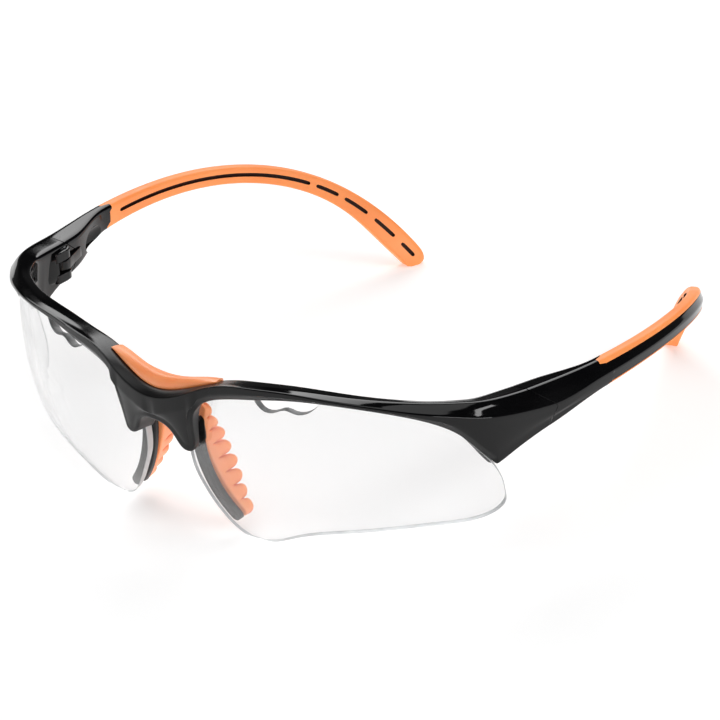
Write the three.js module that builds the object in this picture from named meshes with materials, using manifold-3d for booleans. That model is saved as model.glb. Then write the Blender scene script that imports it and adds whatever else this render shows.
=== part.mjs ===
// Semi-rimless sports protective goggles with folding temples.
//
// Millimetres. +X is the wearer's left, the front faces -Y and +Z is up. The goggles stand on the
// plane z = 0, on the bottom edges of both lenses and the tips of both temples. The left half is
// modelled and the right half is its mirror image.

import * as THREE from 'three';
import { mergeVertices } from 'three/addons/utils/BufferGeometryUtils.js';
import Module from 'manifold-3d';

const wasm = await Module();
wasm.setup();

// ---------------------------------------------------------------- driving dimensions

const CLEARANCE = 0.3;          // gap between neighbouring pieces

const RIDGE_SETBACK = 2;        // ridge of the top surface, behind the front wall
const CREASE_PROUD = 0.25;      // the crease stands out from the front wall
const REAR_DROP = 0.8;          // chamfer on the rear top edge

// One row for each station of the left half, from the centre of the bridge to the hinge: x and y
// of the front wall, the heights of lower edge, crease, ridge and rear top edge, then the depth.
const FRONT_STATIONS = [
  [0.0, -44.2, 26.2, 32.1, 33.3, 32.2, 6.2],
  [4.0, -44.0, 25.8, 32.7, 33.7, 32.6, 6.1],
  [8.0, -43.4, 27.0, 34.1, 34.8, 33.6, 6.0],
  [12.0, -42.5, 32.2, 36.2, 36.1, 35.2, 5.9],
  [17.0, -41.3, 34.6, 38.2, 37.7, 37.0, 5.6],
  [24.0, -39.8, 35.8, 39.0, 38.6, 38.1, 5.2],
  [32.0, -37.6, 36.9, 39.2, 39.1, 38.6, 4.9],
  [40.0, -35.2, 37.3, 39.0, 39.1, 38.6, 4.8],
  [47.0, -32.0, 36.8, 38.3, 38.7, 38.2, 4.6],
  [53.0, -28.1, 35.6, 37.2, 38.2, 37.6, 4.5],
  [58.5, -23.6, 34.1, 35.9, 37.6, 36.9, 4.5],
  [62.5, -19.4, 30.8, 34.9, 37.1, 36.3, 4.5],
  [65.4, -15.8, 25.4, 34.0, 36.7, 35.8, 4.5],
  [67.0, -12.6, 22.3, 33.3, 36.4, 35.5, 4.5],
  [68.5, -7.5, 24.9, 32.3, 35.9, 35.1, 4.5],
  [69.5, -2.5, 25.9, 31.4, 35.4, 34.7, 4.5],
  [70.4, 2.5, 26.7, 30.7, 35.1, 34.4, 4.5],
  [71.3, 7.0, 27.4, 30.2, 34.9, 34.2, 4.5],
];
const FRONT_RINGS_PER_STATION = 2;

// Side profile of the joint between end piece and temple, as y and z down its edge.
const SEAM_PROFILE = [[-2.2, 40], [-2.2, 35.1], [3.5, 30.3], [0.8, 26.0], [0.8, 18]];
const SEAM_GAP = 0.4;

const LEG_FOOT = { x: 8.0, y: -42.4, z: 20.6, halfWidth: 2.0, depth: 4.4 };
const LEG_HEAD = { x: 6.6, y: -43.4, z: 30.0, halfWidth: 3.6, depth: 5.2 };
const LEG_LEVELS = [0, 0.15, 0.5, 1];   // shares of the way up from the foot to the head
const LEG_FOOT_TAPER = 0.7;
// Section of the leg: shares of its half width and of its depth.
const LEG_SECTION = [[-1, 0.25], [-0.7, 0], [0.7, 0], [1, 0.25], [1, 1], [-1, 1]];

const LENS_CENTRE = new THREE.Vector3(13.2, 26.3, 25.1);
const LENS_RADIUS = 66;         // outer surface
const LENS_THICKNESS = 2;
// x and z of the left lens outline, anticlockwise seen from the front.
const LENS_NASAL = [[11.4, 33.6], [8, 30.6], [6.5, 26], [6, 20], [6.5, 15], [8.3, 10.6], [12.4, 3.6]];
const LENS_BOTTOM = [[15.6, 0.4], [18.5, -0.7], [23, -0.2], [30.3, 3.0], [43.8, 6.4], [57.9, 8.4]];
const LENS_TEMPLE_SIDE = [[64.6, 9.7], [66.9, 12.2], [67.3, 15], [66.8, 21.5], [64.2, 27.8]];
const LENS_TOP = [[60.4, 33.6], [54.5, 36.6], [47, 37.7], [38.8, 38]];
const LENS_VENT = [[37.6, 36.2], [35.4, 34.4], [33, 34.1], [30.8, 34.6], [28.6, 33.7],
  [26.2, 33.6], [24.4, 34.9]];
const LENS_TOP_NASAL = [[23, 36.8], [15.5, 35.2]];

const ARM_WIDTH = 2.4;
const ARM_THICKNESS = 1.6;
const ARM_GAP = 0.4;            // behind the lens, and again behind the arm
// x and z of the middle of the nose arm, from under the bridge down to its foot.
const ARM_PATH = [[7.5, 26.4], [7.2, 20.5], [8.5, 14], [11.0, 8.4], [14.6, 3.4]];

const PAD_DEPTH = 6;            // front face to the tips of the lobes
const PAD_FLARE = 0.9;          // the lobes stand further from the nose than the base
const PAD_THICKNESS = 2.6;
const PAD_LOBES = 8;
const PAD_RINGS_PER_LOBE = 5;
const PAD_GROOVE = 0.2;         // depth of the grooves between the lobes, as a share of the depth
const PAD_RIB = 0.25;           // how much thinner the pad is in a groove
// Depth of the pad as a share of PAD_DEPTH, at shares of its length from top to bottom.
const PAD_DEPTH_PROFILE = [[0, 0.3], [0.12, 0.5], [0.25, 0.85], [0.38, 1], [0.6, 1], [0.8, 0.72], [1, 0.38]];
const PAD_PATH = [[7.1, 28.6], [6.3, 25], [6.5, 19.5], [8.6, 13.4], [11.4, 8.2], [14.7, 3.6]];

const BROW_PAD_HALF_LENGTH = 15.5;
const BROW_PAD_SETBACK = 2.2;   // front edge of the pad, behind the front wall
const BROW_PAD_OVERHANG = 1;    // how far the pad stands behind the rear wall
const BROW_PAD_HEIGHT = 2.2;
const BROW_PAD_LIP = 0.8;       // how far the pad reaches down the rear wall
const BROW_PAD_STEPS = 10;

// Top edge of the left temple, from the seam to the tip.
const TEMPLE_TOP = new THREE.CubicBezierCurve3(
  new THREE.Vector3(68.0, 0, 35.0),
  new THREE.Vector3(79, 61, 33.6),
  new THREE.Vector3(52.4, 79.5, 32.4),
  new THREE.Vector3(36.8, 92.8, 2.8),
);
const TEMPLE_LENGTH = TEMPLE_TOP.getLength();
// One row for each station of the temple: distance from the seam, height and thickness.
const TEMPLE_STATIONS = [[-6, 9.6, 4.4], [0, 8.6, 4.4], [6, 7.4, 4.3], [14, 6.2, 4.2], [24, 5.4, 4.0],
  [45, 4.5, 3.8], [70, 4.3, 3.6], [92, 5.0, 3.6], [107, 6.0, 3.6], [TEMPLE_LENGTH, 5.6, 3.4]];
const TEMPLE_RINGS = 30;
const TIP_TWIST = THREE.MathUtils.degToRad(22);
const TIP_TWIST_START = 0.45;   // fraction of the length where the twist begins
const TIP_ROUND = 2;            // how far the round end reaches past the last station

const GRIP_START = 21;
const CORE_END = 107;           // the black core stops short of the tip
const CORE_MIDDLE_SHARE = 0.52; // how far down the outer face its middle lies
const CORE_HEIGHT_SHARE = 0.6;
const CORE_THICKNESS_SHARE = 0.62;
const CORE_BEVEL = { down: 0.6, out: 0.15 };
const CORE_OVERLAP = 3;         // how far the core runs into the front part of the temple
const SLOT_WIDTH = 0.7;
const SLOT_DEPTH_SHARE = 0.5;   // of the thickness, from the inner face
// Start and end of the slots in the inner face of the grip.
const GRIP_SLOTS = [[23.5, 79.8], [81.5, 87.8], [89.8, 96.6], [99, 105.8], [108.3, 112.8]];

const PIVOT = new THREE.Vector3(63.2, -3, 0);
const KNUCKLE_RADIUS = 2;
const EAR_RADIUS = 2.2;
const HINGE_REACH = 7;          // how far the hinge block runs forwards from the pivot
const HINGE_ROOT = 3.2;         // how far out from the pivot it meets the end piece
const LOWER_EAR = [26.4, 28.6];
const TONGUE = [28.9, 31.2];
const UPPER_EAR = [31.5, 33.7];
// Plan of the tongue from the pivot: past the knuckle, then back and outwards into the temple.
const TONGUE_OUTLINE = [[1.5, 0], [1.5, 7.2], [4.2, 7.4], [4.2, 13.5], [2.6, 12.5], [-1.4, 5], [-2, 3],
  [-2, 0]];
const SCOOP_DISTANCE = 15;      // hollow on the inner side of the temple
const SCOOP_RADII = [1.6, 7, 2.1];
const SCOOP_PLACE = { inwards: 2.7, down: 3.6 };
const SCOOP_TURN = -0.12;

const SCREW_RADIUS = 0.7;
const BORE_RADIUS = 0.9;
const SCREW_HEAD_RADIUS = 1.35;
const SCREW_HEAD_HEIGHT = 0.8;
const SCREW_SLOT = [0.35, 0.4]; // width and depth
const SCREW_BOTTOM = 26.1;
const NUT_RADIUS = 1.35;        // across the corners
const NUT_HEIGHT = 1.3;
const NUT_PROUD = 0.1;          // below the lower ear

// ---------------------------------------------------------------- solids

function solidOf(geometry) {
  const bare = geometry.index ? geometry.toNonIndexed() : geometry.clone();
  for (const name of Object.keys(bare.attributes)) {
    if (name !== 'position') bare.deleteAttribute(name);
  }
  const merged = mergeVertices(bare, 1e-4);
  return new wasm.Manifold(new wasm.Mesh({
    numProp: 3,
    vertProperties: new Float32Array(merged.attributes.position.array),
    triVerts: new Uint32Array(merged.index.array),
  }));
}

function geometryOf(solid) {
  const mesh = solid.getMesh();
  const geometry = new THREE.BufferGeometry();
  geometry.setAttribute('position', new THREE.BufferAttribute(mesh.vertProperties, 3));
  geometry.setIndex(new THREE.BufferAttribute(mesh.triVerts, 1));
  return geometry;
}

// Closed skin over rings of points with the same number of points each, with both ends closed by
// a fan about their middle. The rings may run either way round: the faces are turned outwards.
function loft(rings) {
  const count = rings[0].length;
  const triangles = [];
  let volume = 0;
  const triangle = (a, b, c) => {
    triangles.push([a, b, c]);
    volume += a.dot(b.clone().cross(c));
  };
  for (let i = 0; i + 1 < rings.length; i++) {
    for (let j = 0; j < count; j++) {
      const k = (j + 1) % count;
      triangle(rings[i][j], rings[i][k], rings[i + 1][k]);
      triangle(rings[i][j], rings[i + 1][k], rings[i + 1][j]);
    }
  }
  for (const [ring, flip] of [[rings[0], true], [rings.at(-1), false]]) {
    const middle = new THREE.Vector3();
    for (const point of ring) middle.addScaledVector(point, 1 / count);
    for (let j = 0; j < count; j++) {
      const k = (j + 1) % count;
      if (flip) triangle(middle, ring[k], ring[j]);
      else triangle(middle, ring[j], ring[k]);
    }
  }
  const outward = volume > 0 ? triangles : triangles.map(([a, b, c]) => [a, c, b]);
  return solidOf(new THREE.BufferGeometry().setFromPoints(outward.flat()));
}

function mirrored(solid) {
  return solid.mirror([1, 0, 0]);
}

function cylinder(radius, bottom, top, segments = 20) {
  const geometry = new THREE.CylinderGeometry(radius, radius, top - bottom, segments);
  geometry.rotateX(Math.PI / 2);
  geometry.translate(PIVOT.x, PIVOT.y, (top + bottom) / 2);
  return solidOf(geometry);
}

function box(low, high) {
  const size = high.clone().sub(low);
  const geometry = new THREE.BoxGeometry(size.x, size.y, size.z);
  const middle = low.clone().add(high).multiplyScalar(0.5);
  return solidOf(geometry.translate(middle.x, middle.y, middle.z));
}

// Catmull-Rom value of every column of a table at row number `at`, which may be between rows.
function rowAt(table, at) {
  const last = table.length - 1;
  const index = Math.min(Math.floor(at), last - 1);
  const share = at - index;
  const row = (i) => table[Math.max(0, Math.min(last, i))];
  return table[0].map((_, column) => {
    const [a, b, c, d] = [-1, 0, 1, 2].map((step) => row(index + step)[column]);
    return THREE.MathUtils.clamp(
      b + share * ((c - a) + share * ((2 * a - 5 * b + 4 * c - d) + share * (3 * (b - c) + d - a))) / 2,
      Math.min(b, c), Math.max(b, c));
  });
}

// Values of the other columns where the first column of a table equals `key`.
function rowWhere(table, key) {
  const last = table.length - 1;
  let index = table.findIndex((row) => row[0] > key) - 1;
  if (index < 0) index = key >= table[last][0] ? last - 1 : 0;
  const share = (key - table[index][0]) / (table[index + 1][0] - table[index][0]);
  return rowAt(table, index + THREE.MathUtils.clamp(share, 0, 1)).slice(1);
}

// ---------------------------------------------------------------- front frame

// Places points of a section given as [out, z] pairs at row number `at` of the front's stations.
function frontRing(at, section) {
  const [x, y, ...heights] = rowAt(FRONT_STATIONS, at);
  const before = rowAt(FRONT_STATIONS, Math.max(0, at - 0.2));
  const after = rowAt(FRONT_STATIONS, Math.min(FRONT_STATIONS.length - 1, at + 0.2));
  const along = new THREE.Vector2(after[0] - before[0], after[1] - before[1]).normalize();
  if (at === 0) along.set(1, 0);
  return section(...heights).map(([out, z]) => (
    new THREE.Vector3(x + out * along.y, y - out * along.x, z)));
}

function frameSection(lower, crease, ridge, rear, depth) {
  const floor = Math.min(lower, rear - REAR_DROP - 0.6);
  return [
    [0, lower],
    [CREASE_PROUD, (lower + crease) / 2],
    [CREASE_PROUD, crease],
    [-RIDGE_SETBACK / 2, (crease + 2 * ridge) / 3],
    [-RIDGE_SETBACK, ridge],
    [-depth + REAR_DROP, rear],
    [-depth, rear - REAR_DROP],
    [-depth, floor],
  ];
}

// Loft along the whole front, or half of it, from sections at the stations' rows.
function frontLoft(section, fromRow, toRow) {
  const left = [];
  const steps = Math.round((toRow - fromRow) * FRONT_RINGS_PER_STATION);
  for (let i = 0; i <= steps; i++) {
    left.push(frontRing(fromRow + (toRow - fromRow) * i / steps, section));
  }
  if (fromRow > 0) return loft(left);
  const right = left.slice(1).reverse()
    .map((ring) => ring.map((point) => new THREE.Vector3(-point.x, point.y, point.z)));
  return loft([...right, ...left]);
}

function bridgeLeg() {
  const rings = [];
  for (const share of LEG_LEVELS) {
    const mix = (name) => THREE.MathUtils.lerp(LEG_FOOT[name], LEG_HEAD[name], share);
    const taper = share === 0 ? LEG_FOOT_TAPER : 1;
    const half = mix('halfWidth') * taper;
    const depth = mix('depth') * taper;
    const front = mix('y') + (mix('depth') - depth) / 4;
    rings.push(LEG_SECTION.map(([across, back]) => (
      new THREE.Vector3(mix('x') + across * half, front + back * depth, mix('z')))));
  }
  return loft(rings);
}

// Everything on one side of the seam between end piece and temple: the prism behind the profile.
function behindSeam(gap) {
  const shape = new THREE.Shape();
  const far = 140;
  shape.moveTo(SEAM_PROFILE[0][0] + gap, SEAM_PROFILE[0][1]);
  for (const [y, z] of SEAM_PROFILE.slice(1)) shape.lineTo(y + gap, z);
  shape.lineTo(far, SEAM_PROFILE.at(-1)[1]);
  shape.lineTo(far, SEAM_PROFILE[0][1]);
  shape.closePath();
  const geometry = new THREE.ExtrudeGeometry(shape, { depth: 30, bevelEnabled: false });
  const turn = new THREE.Matrix4().set(
    0, 0, 1, 55,
    1, 0, 0, 0,
    0, 1, 0, 0,
    0, 0, 0, 1);
  return solidOf(geometry.applyMatrix4(turn));
}

function hingeEar([bottom, top]) {
  const web = box(
    new THREE.Vector3(PIVOT.x, PIVOT.y - EAR_RADIUS, bottom),
    new THREE.Vector3(PIVOT.x + HINGE_ROOT, PIVOT.y + EAR_RADIUS, top));
  return cylinder(EAR_RADIUS, bottom, top).add(web);
}

// Both ears, and the solid part that joins them in front of the knuckle.
function hingeBlock() {
  const block = box(
    new THREE.Vector3(PIVOT.x, PIVOT.y - HINGE_REACH, LOWER_EAR[0]),
    new THREE.Vector3(PIVOT.x + HINGE_ROOT, PIVOT.y - EAR_RADIUS, UPPER_EAR[1]));
  return hingeEar(LOWER_EAR).add(hingeEar(UPPER_EAR)).add(block);
}

function hexNut(radius, bottom, top) {
  return cylinder(radius, bottom, top, 6);
}

function frontFrame(lensPocket) {
  const side = bridgeLeg().add(hingeBlock());
  let frame = frontLoft(frameSection, 0, FRONT_STATIONS.length - 1);
  const seam = behindSeam(0);
  frame = frame.subtract(seam).subtract(mirrored(seam));
  frame = frame.add(side).add(mirrored(side));
  const screwBore = cylinder(BORE_RADIUS, SCREW_BOTTOM - 1, UPPER_EAR[1] + 1);
  const headSeat = cylinder(
    SCREW_HEAD_RADIUS + CLEARANCE, UPPER_EAR[1] - SCREW_HEAD_HEIGHT, UPPER_EAR[1] + 3);
  const nutSeat = hexNut(NUT_RADIUS + CLEARANCE, LOWER_EAR[0] - 1, LOWER_EAR[0] + NUT_HEIGHT);
  const knuckleRoom = cylinder(KNUCKLE_RADIUS + CLEARANCE, LOWER_EAR[1], UPPER_EAR[0]);
  for (const cut of [lensPocket, screwBore, headSeat, nutSeat, knuckleRoom]) {
    frame = frame.subtract(cut).subtract(mirrored(cut));
  }
  return frame;
}

// ---------------------------------------------------------------- lenses

function flatPoints(table) {
  return table.map(([x, z]) => new THREE.Vector2(x, z));
}

// Outline without the vent, from the top of the nose side round to the start of the vent.
function lensRim(steps) {
  const table = [...LENS_NASAL, ...LENS_BOTTOM, ...LENS_TEMPLE_SIDE, ...LENS_TOP];
  return new THREE.SplineCurve(flatPoints(table)).getPoints(steps);
}

function lensVent(steps) {
  const table = [LENS_TOP.at(-1), ...LENS_VENT, LENS_TOP_NASAL[0]];
  return new THREE.SplineCurve(flatPoints(table)).getPoints(steps).slice(1, -1);
}

function onLensSphere({ x, y: z }, radius) {
  const dx = x - LENS_CENTRE.x;
  const dz = z - LENS_CENTRE.z;
  const dy = -Math.sqrt(LENS_RADIUS ** 2 - dx ** 2 - dz ** 2);
  return new THREE.Vector3(dx, dy, dz).multiplyScalar(radius / LENS_RADIUS).add(LENS_CENTRE);
}

// Spherical shell between two radii, cut to an outline by a cone from the sphere's centre.
function shellWithin(outline, outerRadius, innerRadius) {
  const sphere = (radius) => solidOf(new THREE.SphereGeometry(radius, 72, 44)
    .rotateX(Math.PI / 2).translate(...LENS_CENTRE.toArray()));
  const reach = 8;
  const cone = loft([outerRadius + reach, innerRadius - reach]
    .map((radius) => outline.map((point) => onLensSphere(point, radius))));
  return sphere(outerRadius).subtract(sphere(innerRadius)).intersect(cone);
}

function grownOutline(outline, by) {
  return outline.map((point, i) => {
    const before = outline.at(i - 1);
    const after = outline[(i + 1) % outline.length];
    const along = after.clone().sub(before).normalize();
    return new THREE.Vector2(point.x + along.y * by, point.y - along.x * by);
  });
}

function floorBlock() {
  return box(new THREE.Vector3(-90, -90, -20), new THREE.Vector3(90, 150, 0));
}

function lens() {
  const outline = [...lensRim(48), ...lensVent(18), ...flatPoints(LENS_TOP_NASAL)];
  return shellWithin(outline, LENS_RADIUS, LENS_RADIUS - LENS_THICKNESS).subtract(floorBlock());
}

// The groove that the lens edge sits in: the lens without its vent, larger by the clearance.
function lensPocket() {
  return shellWithin(
    grownOutline([...lensRim(48), ...flatPoints(LENS_TOP_NASAL)], CLEARANCE * 1.3),
    LENS_RADIUS + CLEARANCE,
    LENS_RADIUS - LENS_THICKNESS - CLEARANCE);
}

// ---------------------------------------------------------------- nose arms and pads

function sectionsAlong(path, steps, section) {
  const curve = new THREE.SplineCurve(path.map(([x, z]) => new THREE.Vector2(x, z)));
  const rings = [];
  for (let i = 0; i <= steps; i++) {
    const point = curve.getPointAt(i / steps);
    const along = curve.getTangentAt(i / steps);
    rings.push(section(point, new THREE.Vector2(-along.y, along.x), i / steps));
  }
  return rings;
}

// Depth behind the lens, which the arm and the pad follow.
function behindLens(point, gap) {
  return onLensSphere(point, LENS_RADIUS - LENS_THICKNESS - gap).y;
}

function noseArm() {
  const section = (point, across, share) => {
    const half = ARM_WIDTH / 2 * (share > 0.97 || share < 0.03 ? 0.6 : 1);
    return [[-1, 0], [1, 0], [1, 1], [-1, 1]].map(([side, back]) => {
      const place = point.clone().addScaledVector(across, side * half);
      return new THREE.Vector3(
        place.x, behindLens(place, ARM_GAP) + back * ARM_THICKNESS, place.y);
    });
  };
  return loft(sectionsAlong(ARM_PATH, 24, section));
}

function nosePad() {
  const steps = PAD_LOBES * PAD_RINGS_PER_LOBE;
  const section = (point, across, share) => {
    const phase = (share * PAD_LOBES) % 1;
    const lobe = Math.sqrt(Math.max(0, 1 - (2 * phase - 1) ** 2));
    const [taper] = rowWhere(PAD_DEPTH_PROFILE, share);
    const depth = PAD_DEPTH * taper * (1 - PAD_GROOVE * (1 - lobe));
    const rib = 1 - PAD_RIB * (1 - lobe);
    const front = behindLens(point, ARM_GAP * 2.2 + ARM_THICKNESS);
    const half = PAD_THICKNESS / 2;
    const outline = [[-1, 0], [1, 0], [1, 0.45], [rib * 0.9, 0.8], [0.45, 1], [-0.45, 1],
      [-rib * 0.9, 0.8], [-1, 0.45]];
    return outline.map(([side, back]) => {
      const place = point.clone().addScaledVector(across, side * half);
      return new THREE.Vector3(
        place.x + PAD_FLARE * back * depth / PAD_DEPTH, front + back * depth, place.y);
    });
  };
  return loft(sectionsAlong(PAD_PATH, steps, section));
}

function browSection(swell) {
  return (lower, crease, ridge, rear, depth) => {
    const top = BROW_PAD_HEIGHT * swell;
    const wall = -depth - CLEARANCE;
    const back = wall - BROW_PAD_OVERHANG * swell;
    const step = rear - REAR_DROP;
    const foot = step - BROW_PAD_LIP * swell;
    return [
      [-BROW_PAD_SETBACK, ridge + CLEARANCE],
      [-BROW_PAD_SETBACK - top / 4, ridge + CLEARANCE + top / 2],
      [-depth / 2 - top / 4, ridge + CLEARANCE + top],
      [back + top / 4, rear + CLEARANCE + top],
      [back, rear + top / 2],
      [back, foot],
      [wall, foot],
      [wall, step + CLEARANCE],
      [REAR_DROP - depth, rear + CLEARANCE],
    ];
  };
}

function browPad() {
  const beyond = FRONT_STATIONS.findIndex(([x]) => x > BROW_PAD_HALF_LENGTH);
  const [[near], [far]] = FRONT_STATIONS.slice(beyond - 1, beyond + 1);
  const lastRow = beyond - (far - BROW_PAD_HALF_LENGTH) / (far - near);
  const left = [];
  for (let i = 0; i <= BROW_PAD_STEPS; i++) {
    const share = i / BROW_PAD_STEPS;
    left.push(frontRing(lastRow * share, browSection(Math.sqrt(1 - 0.97 * share ** 3))));
  }
  const half = loft(left);
  return half.add(mirrored(half));
}

// ---------------------------------------------------------------- temples

// Point, outward and up directions of the temple at a distance from the seam.
function templeFrame(distance) {
  const share = THREE.MathUtils.clamp(distance / TEMPLE_LENGTH, 0, 1);
  const along = TEMPLE_TOP.getTangentAt(share);
  const top = TEMPLE_TOP.getPointAt(share)
    .addScaledVector(along, distance - share * TEMPLE_LENGTH);
  const outward = new THREE.Vector3(along.y, -along.x, 0).normalize();
  const up = outward.clone().cross(along);
  const twist = TIP_TWIST * THREE.MathUtils.smoothstep(share, TIP_TWIST_START, 1);
  outward.applyAxisAngle(along, twist);
  up.applyAxisAngle(along, twist);
  return { top, outward, up };
}

// Ring at a distance from the seam. Section points are shares: out from the inner face (0) to the
// outer face (1), and down from the top edge (0) to the bottom edge (1).
function templeRing(distance, section, shrink = 1) {
  const { top, outward, up } = templeFrame(distance);
  const [height, thickness] = rowWhere(TEMPLE_STATIONS, Math.min(distance, TEMPLE_LENGTH));
  return section(height, thickness).map(([out, down]) => top.clone()
    .addScaledVector(outward, (out - 0.5) * thickness * shrink)
    .addScaledVector(up, -(0.5 + (down - 0.5) * shrink) * height));
}

function fullSection() {
  return [
    [0.35, 0], [0.06, 0.12], [0, 0.35], [0, 0.65], [0.06, 0.88], [0.35, 1],
    [0.65, 1], [0.94, 0.88], [1, 0.65], [1, 0.35], [0.94, 0.12], [0.65, 0],
  ];
}

// The core behind the grip: a bar flush with the outer face.
function coreSection(grow, proud) {
  return (height, thickness) => {
    const inner = 1 - CORE_THICKNESS_SHARE - grow / thickness;
    const half = CORE_HEIGHT_SHARE / 2 + grow / height;
    const outer = 1 + proud / thickness;
    const bevelled = half * CORE_BEVEL.down;
    const middle = CORE_MIDDLE_SHARE;
    return [
      [inner, middle - bevelled],
      [inner, middle + bevelled],
      [inner + CORE_BEVEL.out, middle + half],
      [outer, middle + half],
      [outer, middle - half],
      [inner + CORE_BEVEL.out, middle - half],
    ];
  };
}

function templeLoft(section, from, to, rings) {
  const list = [];
  for (let i = 0; i <= rings; i++) list.push(templeRing(from + (to - from) * i / rings, section));
  return list;
}

function templeTip(list, section) {
  for (const turn of [0.45, 0.8, 0.97]) {
    const angle = turn * Math.PI / 2;
    list.push(templeRing(TEMPLE_LENGTH + TIP_ROUND * Math.sin(angle), section, Math.cos(angle)));
  }
  return list;
}

function tongue() {
  const [bottom, top] = TONGUE;
  const shape = new THREE.Shape(
    TONGUE_OUTLINE.map(([x, y]) => new THREE.Vector2(PIVOT.x + x, PIVOT.y + y)));
  const web = new THREE.ExtrudeGeometry(shape, { depth: top - bottom, bevelEnabled: false });
  return cylinder(KNUCKLE_RADIUS, bottom, top)
    .add(solidOf(web.translate(0, 0, bottom)))
    .subtract(cylinder(BORE_RADIUS, bottom - 1, top + 1));
}

function scoop() {
  const { top, outward, up } = templeFrame(SCOOP_DISTANCE);
  const middle = top.clone()
    .addScaledVector(outward, -SCOOP_PLACE.inwards)
    .addScaledVector(up, -SCOOP_PLACE.down);
  const geometry = new THREE.SphereGeometry(1, 20, 12)
    .scale(...SCOOP_RADII)
    .rotateZ(SCOOP_TURN)
    .translate(...middle.toArray());
  return solidOf(geometry);
}

function templeCore() {
  const front = loft(templeLoft(fullSection, -6, GRIP_START, 10)).intersect(behindSeam(SEAM_GAP));
  const bar = loft(templeLoft(coreSection(0, 0), GRIP_START - CORE_OVERLAP, CORE_END, TEMPLE_RINGS));
  return front.subtract(scoop()).add(bar).add(tongue());
}

function templeGrip() {
  const skin = loft(templeTip(
    templeLoft(fullSection, GRIP_START + CLEARANCE, TEMPLE_LENGTH, TEMPLE_RINGS), fullSection));
  const channel = loft(templeLoft(
    coreSection(CLEARANCE, 2), GRIP_START - CORE_OVERLAP, CORE_END + CLEARANCE, TEMPLE_RINGS));
  let grip = skin.subtract(channel);
  for (const [from, to] of GRIP_SLOTS) {
    const slot = (height) => {
      const half = SLOT_WIDTH / 2 / height;
      const deep = SLOT_DEPTH_SHARE;
      return [[-0.3, 0.5 - half], [-0.3, 0.5 + half], [deep, 0.5 + half], [deep, 0.5 - half]];
    };
    const rings = Math.max(2, Math.round((to - from) / 3));
    grip = grip.subtract(loft(templeLoft(slot, from, to, rings)));
  }
  return grip.subtract(floorBlock());
}

// ---------------------------------------------------------------- hinge hardware

function hingeScrew() {
  const [width, depth] = SCREW_SLOT;
  const headTop = UPPER_EAR[1] + CLEARANCE;
  const headBottom = headTop - SCREW_HEAD_HEIGHT;
  const reach = 2 * SCREW_HEAD_RADIUS;
  const slot = box(
    new THREE.Vector3(PIVOT.x - reach, PIVOT.y - width / 2, headTop - depth),
    new THREE.Vector3(PIVOT.x + reach, PIVOT.y + width / 2, headTop + depth));
  return cylinder(SCREW_RADIUS, SCREW_BOTTOM, headBottom + 0.1)
    .add(cylinder(SCREW_HEAD_RADIUS, headBottom, headTop))
    .subtract(slot);
}

function hingeNut() {
  const bottom = LOWER_EAR[0] - NUT_PROUD;
  const top = LOWER_EAR[0] + NUT_HEIGHT - CLEARANCE;
  return hexNut(NUT_RADIUS, bottom, top)
    .subtract(cylinder(BORE_RADIUS, bottom - 1, top + 1));
}

// ---------------------------------------------------------------- assembly

const blackGloss = { color: 0x0b0b0c, roughness: 0.16, metalness: 0 };
const orangeRubber = { color: 0xfd925e, roughness: 0.6, metalness: 0 };
const clearLens = { color: 0xe9ecee, roughness: 0.04, metalness: 0, transparent: true, opacity: 0.3 };
const blackSatin = { color: 0x1c1c1e, roughness: 0.4, metalness: 0 };
const steel = { color: 0xb9bbbd, roughness: 0.3, metalness: 1 };
const brass = { color: 0xc8a45a, roughness: 0.35, metalness: 1 };

const goggles = new THREE.Group();

function addPiece(name, solid, look) {
  const mesh = new THREE.Mesh(geometryOf(solid), new THREE.MeshStandardMaterial(look));
  mesh.name = name;
  goggles.add(mesh);
}

function addPair(name, solid, look) {
  addPiece(`${name}_left`, solid, look);
  addPiece(`${name}_right`, mirrored(solid), look);
}

addPiece('front_frame', frontFrame(lensPocket()), blackGloss);
addPiece('brow_pad', browPad(), orangeRubber);
addPair('lens', lens(), clearLens);
addPair('nose_arm', noseArm(), blackSatin);
addPair('nose_pad', nosePad(), orangeRubber);
addPair('hinge_screw', hingeScrew(), steel);
addPair('hinge_nut', hingeNut(), brass);
addPair('temple', templeCore(), blackGloss);
addPair('temple_grip', templeGrip(), orangeRubber);

// The origin is under the middle of the bounding box, on the rest surface.
const bounds = new THREE.Box3().setFromObject(goggles);
goggles.position.y = -(bounds.min.y + bounds.max.y) / 2;

export default goggles;
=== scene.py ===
"""Looks of the sports protective goggles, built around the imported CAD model.

Blender works in metres. The tables below are in millimetres, with x to the wearer's left, z up
from the rest surface and y back from the hinge seam; placed() turns them into the CAD frame. The
left half is made and the right half is its mirror image.
"""

import math

import bpy
import numpy as np
from mathutils import Matrix, Vector


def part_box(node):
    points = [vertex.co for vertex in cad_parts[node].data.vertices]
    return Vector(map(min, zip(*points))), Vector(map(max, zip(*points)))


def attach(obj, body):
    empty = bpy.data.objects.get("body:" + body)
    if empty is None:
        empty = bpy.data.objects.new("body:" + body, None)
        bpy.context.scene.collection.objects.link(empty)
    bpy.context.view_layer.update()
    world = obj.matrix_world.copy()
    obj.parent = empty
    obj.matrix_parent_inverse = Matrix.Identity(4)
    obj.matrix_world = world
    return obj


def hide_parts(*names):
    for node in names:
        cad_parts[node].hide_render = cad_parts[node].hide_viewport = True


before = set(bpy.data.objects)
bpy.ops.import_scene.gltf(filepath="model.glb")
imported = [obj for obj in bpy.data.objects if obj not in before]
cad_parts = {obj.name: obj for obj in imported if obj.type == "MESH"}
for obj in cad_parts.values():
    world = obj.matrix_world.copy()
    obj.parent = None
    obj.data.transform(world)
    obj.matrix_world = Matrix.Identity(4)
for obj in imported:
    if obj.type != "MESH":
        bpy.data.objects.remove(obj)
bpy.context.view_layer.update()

# ---------------------------------------------------------------- driving dimensions

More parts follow.
